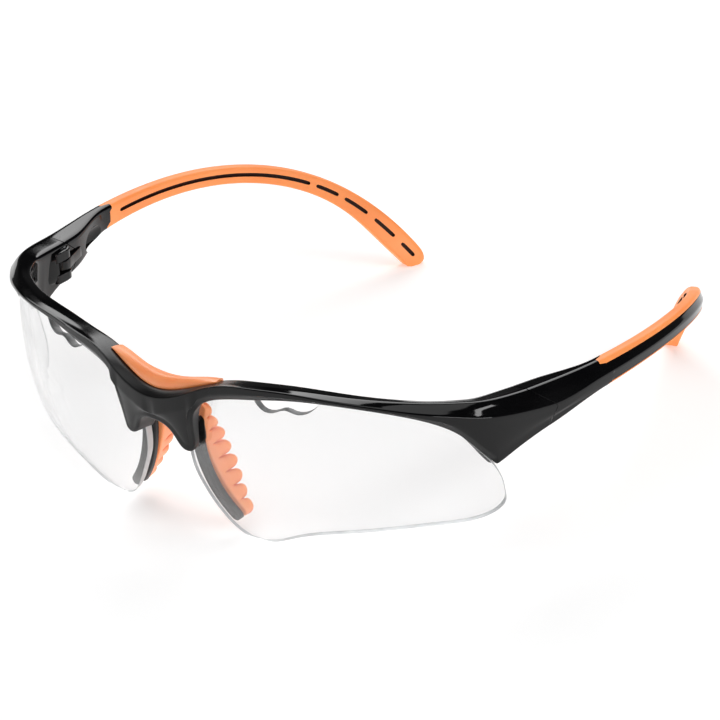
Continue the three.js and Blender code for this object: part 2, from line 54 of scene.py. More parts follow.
MM = 0.001
SIDES = (("left", False), ("right", True))     # name, and whether it is the mirror image

# Stations of the front from the middle of the bridge to the hinge seam: x and y of the front
# wall, heights of crease, ridge and rear top edge, depth at the top and at the lower edge.
FRONT_STATIONS = [
    (0.0, -44.2, 32.1, 33.3, 32.2, 6.2, 5.4),
    (4.0, -44.0, 32.7, 33.7, 32.6, 6.1, 5.2),
    (8.0, -43.4, 34.1, 34.8, 33.6, 6.0, 4.8),
    (12.0, -42.5, 36.2, 36.1, 35.2, 5.9, 5.0),
    (17.0, -41.3, 38.2, 37.7, 37.0, 5.6, 5.4),
    (24.0, -39.8, 39.0, 38.6, 38.1, 5.2, 5.2),
    (32.0, -37.6, 39.2, 39.1, 38.6, 4.9, 4.9),
    (40.0, -35.2, 39.0, 39.1, 38.6, 4.8, 4.8),
    (47.0, -32.0, 38.3, 38.7, 38.2, 4.6, 4.6),
    (53.0, -28.1, 37.2, 38.2, 37.6, 4.5, 4.5),
    (58.5, -23.6, 35.9, 37.6, 36.9, 4.7, 4.5),
    (62.5, -19.4, 34.9, 37.1, 36.3, 5.3, 4.7),
    (65.4, -15.8, 34.0, 36.7, 35.8, 6.0, 5.0),
    (67.0, -12.6, 33.3, 36.4, 35.5, 6.5, 5.4),
    (68.5, -7.5, 32.3, 35.9, 35.1, 6.9, 6.0),
    (69.5, -2.5, 31.4, 35.4, 34.7, 7.0, 6.3),
    (70.4, 2.5, 30.7, 35.1, 34.4, 6.9, 6.4),
    (71.3, 7.0, 30.2, 34.9, 34.2, 6.7, 6.3),
]
RIDGE_SETBACK = 2.0        # ridge of the top surface, behind the front wall
CREASE_PROUD = 0.25        # the crease stands out from the front wall

# Lower edge of the front: distance round the front wall, height, and the distance of the point
# of the crease that belongs to it. It runs under the bridge, round the leg and along the bar.
LOWER_EDGE_TO_CORNER = [
    (0.0, 26.3, 0.0), (2.2, 26.1, 2.0), (3.8, 25.2, 3.5), (5.0, 23.6, 4.6), (6.0, 21.8, 5.6),
    (7.2, 20.6, 6.6), (8.5, 20.3, 7.6), (9.6, 20.7, 8.4), (10.2, 22.0, 9.0), (10.4, 25.0, 9.6),
    (10.6, 28.0, 10.2), (11.2, 30.6, 11.0), (12.7, 32.5, 12.6), (14.9, 33.8, 14.9),
    (17.6, 34.6, 17.6), (24.5, 35.8, 24.5), (32.8, 36.9, 32.8), (41.1, 37.3, 41.1),
    (48.8, 36.8, 48.8), (56.0, 35.6, 56.0), (63.0, 33.6, 63.0), (68.9, 30.4, 68.9),
    (73.5, 25.9, 73.5), (77.0, 22.3, 77.0),
]
LOWER_EDGE_FROM_CORNER = [
    (77.0, 22.3, 77.0), (82.4, 24.3, 82.4), (87.5, 25.6, 87.5), (92.6, 26.5, 92.6),
    (97.1, 27.0, 97.1),
]
EDGE_STEP = 0.45           # distance between rings of the front
EDGE_SOFTNESS = 0.35       # how far the corners of the lower edge are blurred
BLUR_REACH = 4             # rings on each side that the blur takes in
OPENING_SPAN = (12.3, 76.0)    # part of the lower edge that runs along a lens
LEG_SPAN = (9.4, 13.5)     # part of it that runs up the outer side of the leg
LEG_LIP_HEIGHTS = (22.6, 30.2)
LEG_LIP = 1.1              # how far the lips reach behind the lens, at the leg and at the side
SIDE_LIP_SPAN = (62.0, 76.5)
SIDE_LIP = 0.6
LIP_CLEARANCE = 0.35       # between the rear face of the lens and the lip

# Raised line on the front of the bridge: its ends as distance and height, and how far it stands.
CHEVRON_INNER = (1.6, 28.4)
CHEVRON_OUTER = (11.2, 32.2)
CHEVRON_PROUD = 0.4

LEG_SETBACK = 1.5          # the foot of the leg stands behind the front wall
LEG_SETBACK_HEIGHTS = (31.0, 20.6)

CHAMFER_WIDTH = 1.2        # along the lens opening
CHAMFER_DROP = 0.8

# The seam between front and temple, seen from the side: distance back and height.
SEAM_PROFILE = [(-2.2, 40.0), (-2.2, 35.1), (3.5, 30.3), (0.8, 26.0), (0.8, 10.0)]
SEAM_GAP = 0.25
SEAM_BASE = 24             # rings of the front that are redrawn up to the seam
SEAM_RINGS = 30            # rings that take their place
SEAM_INSET = 0.15          # the ends are rounded off by a ring this much smaller,
SEAM_BULGE = 0.05          # set this much further out
BLEND_START = 91.5         # distance round the front wall where it begins to turn into the temple
BLEND_END = 18.0           # distance from the seam where the temple has its own section

LENS_CENTRE = np.array([13.2, 26.3, 25.1])
LENS_RADIUS = 66.0
LENS_THICKNESS = 2.0
LENS_EDGE_CHAMFER = 0.15
LENS_FACE_ALIGNMENT = 0.9  # faces whose cosine to the centre is below this belong to the edge
LENS_STEP = 0.9            # between the points of the outline
LENS_RIM = [
    (11.4, 33.6), (8.0, 30.6), (6.5, 26.0), (6.0, 20.0), (6.5, 15.0), (8.3, 10.6), (12.4, 3.6),
    (15.6, 0.4), (18.5, -0.7), (23.0, -0.2), (30.3, 3.0), (43.8, 6.4), (57.9, 8.4),
    (64.6, 9.7), (66.8, 12.2), (67.2, 15.0), (67.2, 18.0), (66.6, 21.3), (65.3, 24.5),
    (63.4, 27.8),
    (60.4, 33.6), (54.5, 36.6), (47.0, 37.7), (38.8, 38.0),
]
LENS_VENT = [
    (37.6, 36.2), (35.4, 34.4), (33.0, 34.1), (30.8, 34.6), (28.6, 33.7), (26.2, 33.6),
    (24.4, 34.9),
]
LENS_TOP_NASAL = [(23.0, 36.8), (15.5, 35.2)]
LENS_MIDDLE = (33.0, 20.0)
POCKET_CLEARANCE = 0.15

ARM_WIDTH = 2.6
ARM_THICKNESS = 1.6
ARM_GAP = 0.4              # behind the lens, and again behind the arm
ARM_PATH = [(7.5, 26.4), (7.2, 20.5), (8.5, 14.0), (11.0, 8.4), (14.6, 3.4)]

PAD_PATH = [(7.1, 28.6), (6.3, 25.0), (6.5, 19.5), (8.6, 13.4), (11.4, 8.2), (14.7, 3.6)]
PAD_DEPTH = 6.0            # front face to the tips of the lobes
PAD_FLARE = 0.9
PAD_THICKNESS = 2.6
PAD_LOBES = 8
PAD_GROOVE = 0.4           # depth of the grooves between lobes, as a share of the pad's depth
PAD_RIB = 0.45             # how much thinner the pad is in a groove
PAD_BEHIND_LENS = ARM_GAP * 2.2 + ARM_THICKNESS      # a little more than both gaps and the arm
# Corners of the pad's section: across, share of the depth, and whether the lobes narrow it.
PAD_SECTION = [(-1, 0.0, 0), (1, 0.0, 0), (1, 0.35, 0), (1, 0.55, 1), (1, 0.85, 1), (0.4, 1.0, 1),
               (-0.4, 1.0, 1), (-1, 0.85, 1), (-1, 0.55, 1), (-1, 0.35, 0)]
# Share of the way along the pad, and its depth there as a share of the full depth.
PAD_DEPTH_PROFILE = [
    (0, 0.3), (0.12, 0.5), (0.25, 0.85), (0.38, 1), (0.6, 1), (0.8, 0.72), (1, 0.38)]

BROW_HALF_LENGTH = 15.5
BROW_HEIGHT = 2.3
BROW_SETBACK = 2.3         # front edge of the pad, behind the front wall
BROW_OVERHANG = 1.0        # how far the pad stands behind the rear wall
BROW_GAP = 0.3

# Top edge of the left temple, from the seam to the tip, as a cubic Bezier curve.
TEMPLE_TOP = np.array([(68.0, 0.0, 35.0), (79.0, 61.0, 33.6), (52.4, 79.5, 32.4), (36.8, 92.8, 2.8)])
# Distance from the seam, height and thickness.
TEMPLE_STATIONS = [
    (-6, 9.6, 4.4), (0, 8.6, 4.4), (6, 7.4, 4.3), (14, 6.2, 4.2), (24, 5.4, 4.0), (45, 4.5, 3.8),
    (70, 4.3, 3.6), (92, 5.0, 3.6), (107, 6.0, 3.6), (113.7, 5.6, 3.4),
]
TEMPLE_CREASE = 0.52       # how far down the outer face the crease lies
TEMPLE_FACET_TILT = math.radians(29)
# Corners of the temple's section, in the same order as those of the front: height as a share of
# the way down, reach of the rounding, and distance of the border between black and orange.
FULL_DOWN = np.array([0.52, 0.74, 0.9, 1.0, 1.0, 1.0, 0.97, 0.5, 0.04, 0.0, 0.26])
FULL_REACH = np.array([0.3, 1.0, 0.5, 0.4, 0.3, 0.3, 0.8, 1.5, 0.8, 0.7, 0.6])
INLAY_REACH = np.array([0.3, 0.6, 0.1, 0.1, 0.1, 0.2, 0.4, 0.6, 0.4, 0.1, 0.1])
BORDER = np.array([21.0, 21.0, 20.6, 19.8, 19.2, 18.8, 18.3, 19.5, 20.3, 17.5, 19.6])
SCOOP_DISTANCE = 13.5
SCOOP_OUT = -0.42          # its middle, as shares of thickness and height
SCOOP_DOWN = 0.8
SCOOP_RADII = (2.0, 7.5, 3.0)
TIP_TWIST = math.radians(22)
TIP_TWIST_START = 0.45
TIP_START = 1.5            # how far before the end of the curve the tip begins to round off
TIP_ROUND = 2.0            # how far it reaches past the end
TIP_TURNS = (0.15, 0.32, 0.5, 0.66, 0.8, 0.9, 0.97, 1.0)
INLAY_TOP = 0.19           # the black inlay in the outer face, as shares of the height
INLAY_BOTTOM = 0.925
INLAY_INNER = 0.38         # its inner side, as a share of the thickness
INLAY_TAPER_START = 99.0
INLAY_END = 111.0
INLAY_OVERRUN = 0.5        # how far the inlay and its channel run on past its end
CHANNEL_START = 14.0       # distance where the grip's channel for the inlay begins
CHANNEL_PROUD = 1.5        # how far the channel's cutter stands out of the outer face
GRIP_GAP = 0.06
GRIP_SLOTS = [(23.2, 79.8), (81.5, 87.8), (89.6, 96.6), (99.0, 105.8), (108.3, 113.0)]
SLOT_WIDTH = 1.05
SLOT_DEPTH = 0.8
SLOT_HEIGHT = 0.46         # how far down the inner face the slots lie

PIVOT = np.array([63.2, -3.0])
KNUCKLE_RADIUS = 2.0
KNUCKLE_ROOM = 0.3
EAR_RADIUS = 2.2
EAR_REACH = 3.5            # how far the ears run forwards from the screw
EAR_OVERLAP = 0.9          # how far their outer side runs into the end piece
FAIRING_GAP = 0.3          # between the swelling and the room of the knuckle
DRUM_BEVEL = 0.2
PLATE_BEVEL = 0.12
# Rings of the swelling in front of the ears: distance before the knuckle, inner and outer side.
HINGE_FAIRING = [(0.0, -2.0, 3.2), (-1.5, -1.9, 3.2), (-3.0, -1.4, 3.0), (-4.5, -0.4, 2.4)]
LOWER_EAR = (26.4, 28.6)
TONGUE = (28.9, 31.2)
TONGUE_LENGTH = 7.5        # from the pivot back into the temple
UPPER_EAR = (31.5, 33.8)
BORE_RADIUS = 0.9
SCREW_HEAD_RADIUS = 1.35
SCREW_HEAD_HEIGHT = 0.8
NUT_SEAT_HEIGHT = 1.3

ORIGIN_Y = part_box("front_frame")[0].y / MM - (FRONT_STATIONS[0][1] - CREASE_PROUD)

PAINTED_RUBBER_GLOW = 0.2          # painted glow: emission that brightens the rubber as if it were lit
LENS_TINT = (0.85, 0.853, 0.855)
POLYCARBONATE_IOR = 1.586

# Numbers of rings in the lofts.
BLEND_RINGS = 48           # between the front and the temple's own section
ROOT_RINGS = 36            # of the temple, from the seam to its own section
BORDER_RINGS = 18          # on to the border with the orange rubber
INLAY_RINGS = 90
GRIP_RINGS = 110
CHANNEL_RINGS = 130
SCOOP_RINGS = 24
ARM_RINGS = 60
RINGS_PER_LOBE = 12
BROW_RINGS = 101

ARC_POINTS = 5             # points on each rounded corner of a section
EDGE_SHARES = (0.2, 0.8)   # points on each side between two rounded corners
SHORT_SAMPLES = 160        # sections worked out along a short and a long stretch of temple
LONG_SAMPLES = 520
SMOOTH_ANGLE = math.radians(32)
NOISE_SPAN = (0.3, 0.7)    # the part of a noise's range that is used for roughness
TINT_SPAN = (0.35, 0.65)   # and for colour

# The stage, in metres.
FLOOR_SIZE = 4.0
FLOOR_GLOW = 0.38
# Name, azimuth and elevation in degrees, distance, width, height, and power in watts.
SOFTBOXES = [
    ("back softbox", 220, 40, 1.6, 1.6, 0.9, 16),
    ("key softbox", 100, 38, 1.5, 0.6, 0.22, 4),
    ("overhead softbox", 40, 82, 1.7, 1.5, 1.5, 12),
    ("left fill", -55, 8, 1.6, 1.2, 0.3, 6),
    ("right fill", 75, 5, 1.6, 1.2, 0.2, 6),
]
HORIZON_LIGHT = 1.2
CEILING_LIGHT = 0.06
HORIZON_TOP = (math.radians(4), math.radians(15))
CAMERA_AZIMUTH = math.radians(40.334)
CAMERA_ELEVATION = math.radians(26.458)
CAMERA_ROLL = math.radians(-2.776)
CAMERA_DISTANCE = 0.88175
CAMERA_AIM = Vector((0.0103, -0.01201, 0.02))
CAMERA_LENS = 202.8
CAMERA_NEAR = 0.01
SENSOR_WIDTH = 36


# ---------------------------------------------------------------- curves

def unit(vectors):
    return vectors / np.linalg.norm(vectors, axis=-1, keepdims=True)


def natural_spline(knots, values):
    """Smooth curve through values at rising knots, as a function of position."""
    knots = np.asarray(knots, float)
    values = np.asarray(values, float).reshape(len(knots), -1)
    step = np.diff(knots)
    count = len(knots)
    system = np.eye(count)
    right = np.zeros_like(values)
    for i in range(1, count - 1):
        system[i, i - 1] = step[i - 1]
        system[i, i] = 2 * (step[i - 1] + step[i])
        system[i, i + 1] = step[i]
        slope_after = (values[i + 1] - values[i]) / step[i]
        slope_before = (values[i] - values[i - 1]) / step[i - 1]
        right[i] = 6 * (slope_after - slope_before)
    bend = np.linalg.solve(system, right)

    def at(position):
        position = np.atleast_1d(np.asarray(position, float))
        i = np.clip(np.searchsorted(knots, position, side="right") - 1, 0, count - 2)
        h = step[i][:, None]
        a = ((knots[i + 1] - position) / step[i])[:, None]
        b = 1 - a
        curve = (a**3 - a) * bend[i] + (b**3 - b) * bend[i + 1]
        return a * values[i] + b * values[i + 1] + curve * h**2 / 6

    return at


def chord_lengths(points):
    steps = np.linalg.norm(np.diff(np.asarray(points, float), axis=0), axis=1)
    return np.concatenate([[0], np.cumsum(steps)])


def curve_through(points, count):
    """Evenly spaced points on the smooth curve through a table of points."""
    distance = chord_lengths(points)
    dense = natural_spline(distance, points)(np.linspace(0, distance[-1], 40 * len(points)))
    along = chord_lengths(dense)
    even = np.linspace(0, along[-1], count)
    return np.stack([np.interp(even, along, column) for column in dense.T], axis=-1)


def smoothstep(low, high, value):
    share = np.clip((np.asarray(value, float) - low) / (high - low), 0, 1)
    return share * share * (3 - 2 * share)


def window(low, high, soft, value):
    """One between low and high, fading to zero over a distance outside them."""
    return smoothstep(low - soft, low, value) * (1 - smoothstep(high, high + soft, value))


def rounded(corners, reach):
    """Rings of points round polygons whose corners are rounded off over a reach on both sides."""
    before = np.roll(corners, 1, axis=1) - corners
    after = np.roll(corners, -1, axis=1) - corners
    length_before = np.linalg.norm(before, axis=2)
    length_after = np.linalg.norm(after, axis=2)
    reach = np.minimum(reach, 0.48 * np.minimum(length_before, length_after))[..., None]
    start = corners + unit(before) * reach
    end = corners + unit(after) * reach
    t = np.linspace(0, 1, ARC_POINTS)[:, None]
    arcs = ((1 - t) ** 2 * start[:, :, None] + 2 * t * (1 - t) * corners[:, :, None]
            + t**2 * end[:, :, None])
    gap = np.roll(start, -1, axis=1) - end
    sides = end[:, :, None] + gap[:, :, None] * np.array(EDGE_SHARES)[:, None]
    return np.concatenate([arcs, sides], axis=2).reshape(len(corners), -1, 3)


def corner_values(values):
    """One value for each point of a rounded ring, from one value for each corner."""
    values = np.asarray(values, float)
    after = np.roll(values, -1)
    sides = [values + (after - values) * share for share in EDGE_SHARES]
    return np.stack([values] * ARC_POINTS + sides, axis=-1).reshape(-1)


# ---------------------------------------------------------------- meshes

def placed(points):
    return (np.asarray(points, float) + [0, ORIGIN_Y, 0]) * MM


def in_scene(name, data):
    """Object with the given mesh, light or camera, put into the scene."""
    thing = bpy.data.objects.new(name, data)
    bpy.context.scene.collection.objects.link(thing)
    return thing


def mirrored(points):
    return np.asarray(points, float) * [-1, 1, 1]


def skin(rings, capped=True):
    """Points and faces of the skin over rings, with the ends closed by fans."""
    rings = np.asarray(rings, float)
    count, size = rings.shape[:2]
    points = rings.reshape(-1, 3)
    faces = []
    for i in range(count - 1):
        for j in range(size):
            k = (j + 1) % size
            faces.append((i * size + j, (i + 1) * size + j, (i + 1) * size + k, i * size + k))
    if capped:
        middles = [rings[0].mean(axis=0), rings[-1].mean(axis=0)]
        points = np.concatenate([points, middles])
        first, last = count * size, count * size + 1
        base = (count - 1) * size
        for j in range(size):
            k = (j + 1) % size
            faces.append((first, j, k))
            faces.append((last, base + k, base + j))
    return points, faces


def volume(points, faces):
    total = 0.0
    for face in faces:
        for i in range(1, len(face) - 1):
            a, b, c = points[face[0]], points[face[i]], points[face[i + 1]]
            total += np.dot(a, np.cross(b, c))
    return total


def turned_outwards(points, faces):
    points = np.asarray(points, float)
    if volume(points - points.mean(axis=0), faces) < 0:
        return points, [tuple(reversed(face)) for face in faces]
    return points, faces


def piece_from(name, points, faces, material):
    """Smooth mesh object from points in millimetres."""
    points, faces = turned_outwards(points, faces)
    mesh = bpy.data.meshes.new(name)
    mesh.from_pydata(placed(points).tolist(), [], [tuple(map(int, face)) for face in faces])
    mesh.materials.append(material)
    piece = in_scene(name, mesh)
    smoothed(piece)
    return piece


def smoothed(piece):
    mesh = piece.data
    mesh.polygons.foreach_set("use_smooth", [True] * len(mesh.polygons))
    mesh.set_sharp_from_angle(angle=SMOOTH_ANGLE)


def merged(parts):
    """One list of points and one of faces from several."""
    points = []
    faces = []
    for part_points, part_faces in parts:
        part_points, part_faces = turned_outwards(part_points, part_faces)
        offset = len(points)
        points.extend(part_points)
        faces.extend(tuple(corner + offset for corner in face) for face in part_faces)
    return np.array(points), faces


def carve(piece, *cutters, inside=None, overlapping=False):
    """Cuts closed shapes out of a piece. The faces of the cuts take the material inside, and
    overlapping says that the piece is made of several shapes that run into each other."""
    inside = inside or piece.data.materials[0]
    for number, (points, faces) in enumerate(cutters):
        cutter = piece_from(f"{piece.name}_cutter_{number}", points, faces, inside)
        modifier = piece.modifiers.new("carve", "BOOLEAN")
        modifier.operation = "DIFFERENCE"
        modifier.solver = "EXACT"
        modifier.use_self = overlapping
        modifier.material_mode = "TRANSFER"
        modifier.object = cutter
        bpy.context.view_layer.update()
        evaluated = piece.evaluated_get(bpy.context.evaluated_depsgraph_get())
        carved = bpy.data.meshes.new_from_object(evaluated)
        piece.modifiers.clear()
        spent = [piece.data, cutter.data]
        piece.data = carved
        bpy.data.objects.remove(cutter)
        for mesh in spent:
            bpy.data.meshes.remove(mesh)
    smoothed(piece)


def turned(shape, flip):
    """A shape, as points and faces, or its mirror image for the right side."""
    points, faces = shape
    return (mirrored(points), faces) if flip else (points, faces)


def both_sides(points, faces):
    """The same shape on the left and on the right."""
    return [(points, faces), (mirrored(points), faces)]


def drum(radius, bottom, top, segments=40, bevel=0.0):
    """Upright cylinder on the hinge axis."""
    angles = np.linspace(0, 2 * math.pi, segments, endpoint=False)
    levels = [(bottom, radius - bevel), (bottom + bevel, radius),
              (top - bevel, radius), (top, radius - bevel)]
    rings = []
    for height, reach in levels:
        rings.append(np.stack([
            PIVOT[0] + reach * np.cos(angles),
            PIVOT[1] + reach * np.sin(angles),
            np.full(segments, height)], axis=-1))
    return skin(rings if bevel else [rings[0], rings[3]])


def plate(outline, bottom, top, bevel=0.15):
    """Flat plate with rounded corners from a plan outline on the hinge axis."""
    flat = np.array([[(x + PIVOT[0], y + PIVOT[1], 0) for x, y in outline]], float)
    ring = rounded(flat, 0.6)[0]
    middle = ring.mean(axis=0)
    small = middle + (ring - middle) * (1 - bevel / 3)
    rings = []
    for height, shape in ((bottom, small), (bottom + bevel, ring), (top - bevel, ring), (top, small)):
        rings.append(np.column_stack([shape[:, :2], np.full(len(shape), height)]))
    return skin(rings)


# ---------------------------------------------------------------- materials

def new_material(name):
    material = bpy.data.materials.new(name)
    material.use_nodes = True
    nodes = material.node_tree.nodes
    shader = nodes["Principled BSDF"]
    return material, material.node_tree, shader


def set_inputs(node, values):
    for name, value in values.items():
        node.inputs[name].default_value = value


def noise(tree, scale, detail=3.0, roughness=0.5):
    place = tree.nodes.new("ShaderNodeTexCoord")
    texture = tree.nodes.new("ShaderNodeTexNoise")
    set_inputs(texture, {"Scale": scale, "Detail": detail, "Roughness": roughness})
    tree.links.new(place.outputs["Object"], texture.inputs["Vector"])
    return texture.outputs["Fac"]


def mapped(tree, value, low, high, span=NOISE_SPAN, smooth=False):
    """A value whose span is carried onto the range from low to high."""
    node = tree.nodes.new("ShaderNodeMapRange")
    if smooth:
        node.interpolation_type = "SMOOTHSTEP"
    set_inputs(node, {"From Min": span[0], "From Max": span[1], "To Min": low, "To Max": high})
    tree.links.new(value, node.inputs["Value"])
    return node.outputs["Result"]


def tinted(tree, value, first, second):
    ramp = tree.nodes.new("ShaderNodeValToRGB")
    for element, position, colour in zip(ramp.color_ramp.elements, TINT_SPAN, (first, second)):
        element.position = position
        element.color = (*colour, 1)
    tree.links.new(value, ramp.inputs["Fac"])
    return ramp.outputs["Color"]


def bumped(tree, value, strength, distance):
    node = tree.nodes.new("ShaderNodeBump")
    set_inputs(node, {"Strength": strength, "Distance": distance * MM})
    tree.links.new(value, node.inputs["Height"])
    return node.outputs["Normal"]


def patterned(name, tint, polish, relief):
    """Material whose colour, roughness and fine relief each follow a noise of their own.

    tint is scale, first and second colour; polish is scale, detail, lowest and highest roughness;
    relief is scale, detail, strength and height in millimetres."""
    material, tree, shader = new_material(name)
    if tint:
        scale, first, second = tint
        tree.links.new(tinted(tree, noise(tree, scale), first, second), shader.inputs["Base Color"])
    scale, detail, low, high = polish
    tree.links.new(mapped(tree, noise(tree, scale, detail), low, high), shader.inputs["Roughness"])
    scale, detail, strength, height = relief
    tree.links.new(
        bumped(tree, noise(tree, scale, detail), strength, height), shader.inputs["Normal"])
    return material, tree, shader


def softened(shader, weight, radius, scale, painted_glow):
    """Lets light into rubber by subsurface scattering, and adds a painted glow: emission in the
    rubber's colour that brightens it as if lit.
    """
    set_inputs(shader, {
        "Subsurface Weight": weight,
        "Subsurface Radius": radius,
        "Subsurface Scale": scale * MM,
        # painted glow: the rubber emits light of its own colour, standing in for lighting
        "Emission Color": (*painted_glow, 1),
        "Emission Strength": PAINTED_RUBBER_GLOW,
    })


def moulded_black(name, base, roughness, grain_scale, grain, level):
    """Moulded black plastic: faint streaks in colour and polish, and a fine skin texture."""
    darker = tuple(part * 0.7 for part in base)
    material, _, shader = patterned(
        name, (90, darker, base), (140, 5, *roughness), (grain_scale, 2, 0.5, grain))
    shader.inputs["Specular IOR Level"].default_value = level
    return material


def near_middle(tree, inner, outer):
    """One over the middle of the object and zero towards its sides."""
    place = tree.nodes.new("ShaderNodeTexCoord")
    split = tree.nodes.new("ShaderNodeSeparateXYZ")
    size = tree.nodes.new("ShaderNodeMath")
    size.operation = "ABSOLUTE"
    tree.links.new(place.outputs["Object"], split.inputs[0])
    tree.links.new(split.outputs["X"], size.inputs[0])
    return mapped(tree, size.outputs[0], 1, 0, (inner * MM, outer * MM), smooth=True)


def gloss_black():
    """Polished black that turns satin on the bridge."""
    material = moulded_black("gloss_black", (0.004, 0.004, 0.0045), (0.05, 0.1), 420, 0.006, 0.3)
    tree = material.node_tree
    shader = tree.nodes["Principled BSDF"]
    polish = shader.inputs["Roughness"].links[0].from_socket
    mix = tree.nodes.new("ShaderNodeMix")
    tree.links.new(near_middle(tree, 11, 24), mix.inputs["Factor"])
    tree.links.new(polish, mix.inputs["A"])
    mix.inputs["B"].default_value = 0.34
    tree.links.new(mix.outputs["Result"], shader.inputs["Roughness"])
    return material


def satin_black():
    return moulded_black("satin_black", (0.012, 0.012, 0.013), (0.3, 0.42), 2600, 0.02, 0.3)


def orange_rubber():
    """Soft-touch rubber of the temple grips."""
    material, _, shader = patterned(
        "orange_rubber", (60, (0.95, 0.27, 0.075), (1.0, 0.33, 0.1)), (200, 4, 0.38, 0.5),
        (3200, 2, 0.35, 0.015))
    # real subsurface scattering, plus a painted glow in orange
    softened(shader, 0.15, (1.0, 0.35, 0.15), 0.6, (1.0, 0.32, 0.06))
    return material


def soft_pad_rubber():
    """Translucent rubber of the pads, with painted shade that turns the grooves between the lobes
    darker and redder.
    """
    material, tree, shader = patterned(
        "soft_pad_rubber", None, (260, 4, 0.32, 0.45), (2400, 2, 0.3, 0.02))
    skin_colour = tinted(tree, noise(tree, 110), (0.96, 0.3, 0.12), (1.0, 0.37, 0.17))
    painted_groove_shade = tree.nodes.new("ShaderNodeAttribute")
    painted_groove_shade.attribute_name = "painted_groove_shade"
    mix = tree.nodes.new("ShaderNodeMix")
    mix.data_type = "RGBA"
    tree.links.new(painted_groove_shade.outputs["Fac"], mix.inputs[0])
    tree.links.new(skin_colour, mix.inputs[6])
    # painted shade: dark red colour for the grooves between the lobes
    mix.inputs[7].default_value = (0.6, 0.06, 0.02, 1)
    tree.links.new(mix.outputs[2], shader.inputs["Base Color"])
    # real subsurface scattering, plus a painted glow in orange
    softened(shader, 0.4, (1.0, 0.4, 0.2), 1.2, (1.0, 0.34, 0.11))
    return material


def clear_lens():
    """Clear polycarbonate."""
    material, _, shader = patterned("clear_lens", None, (70, 4, 0.0, 0.03), (25, 1, 0.1, 0.004))
    set_inputs(shader, {
        "Base Color": (*LENS_TINT, 1), "Transmission Weight": 1, "IOR": POLYCARBONATE_IOR})
    return material


def ground_edge():
    """Ground edge of the lens, which scatters the light inside it."""
    return patterned(
        "lens_edge", (300, (0.5, 0.51, 0.52), (0.6, 0.61, 0.62)), (500, 4, 0.3, 0.5),
        (2500, 2, 0.3, 0.01))[0]


def machined_metal(name, colour, roughness):
    darker = tuple(part * 0.8 for part in colour)
    material, _, shader = patterned(
        name, (900, darker, colour), (1500, 5, roughness, roughness + 0.2), (4000, 4, 0.3, 0.01))
    shader.inputs["Metallic"].default_value = 1
    return material


def pale_floor():
    material, tree, shader = new_material("pale_floor")
    tree.links.new(
        tinted(tree, noise(tree, 3), (0.8, 0.8, 0.8), (0.83, 0.83, 0.83)),
        shader.inputs["Base Color"])
    set_inputs(shader, {
        "Roughness": 0.8,
        "Specular IOR Level": 0.1,
        "Emission Color": (1, 1, 1, 1),
        "Emission Strength": FLOOR_GLOW,
    })
    return material


# ---------------------------------------------------------------- front

def mirrored_stations():
    table = np.array(FRONT_STATIONS, float)
    distance = chord_lengths(table[:, :2])
    flipped = table[:0:-1] * ([-1] + [1] * (table.shape[1] - 1))
    return np.concatenate([-distance[:0:-1], distance]), np.concatenate([flipped, table])


FRONT_AT = natural_spline(*mirrored_stations())


def outward_of_wall(u):
    small = 0.05
    along = unit((FRONT_AT(u + small) - FRONT_AT(u - small))[:, :2])
    return np.stack([along[:, 1], -along[:, 0], np.zeros(len(along))], axis=-1)


def on_wall(u, z, out):
    """Points at a distance round the front wall, a height, and a distance out of the wall."""
    u = np.asarray(u, float)
    wall = FRONT_AT(u)[:, :2]
    flat = np.column_stack([wall, np.broadcast_to(z, u.shape)])
    return flat + outward_of_wall(u) * np.broadcast_to(out, u.shape)[:, None]


def lens_depth(u, z, radius):
    """How far behind the front wall a sphere about the lens centre lies."""
    start = on_wall(u, z, 0.0) - LENS_CENTRE
    across = (start * outward_of_wall(u)).sum(axis=1)
    inside = np.maximum(across**2 - (start**2).sum(axis=1) + radius**2, 0)
    return across - np.sqrt(inside)


def lower_edge():
    """Distance, height and crease distance along the lower edge, with softened corners."""
    parts = []
    for table in (LOWER_EDGE_TO_CORNER, LOWER_EDGE_FROM_CORNER):
        table = np.array(table)
        distance = chord_lengths(table[:, :2])
        count = round(distance[-1] / EDGE_STEP)
        parts.append(natural_spline(distance, table)(np.linspace(0, distance[-1], count)))
    line = np.concatenate([parts[0], parts[1][1:]])
    flipped = line[:0:-1] * [-1, 1, -1]
    whole = np.concatenate([flipped, line])
    spread = EDGE_SOFTNESS / EDGE_STEP
    offsets = np.arange(-BLUR_REACH, BLUR_REACH + 1)
    weights = np.exp(-0.5 * (offsets / spread) ** 2)
    weights /= weights.sum()
    padded = np.concatenate([whole[:1]] * BLUR_REACH + [whole] + [whole[-1:]] * BLUR_REACH)
    starts = BLUR_REACH + offsets
    smooth = sum(w * padded[k:k + len(whole)] for w, k in zip(weights, starts))
    return smooth[len(line) - 1:]


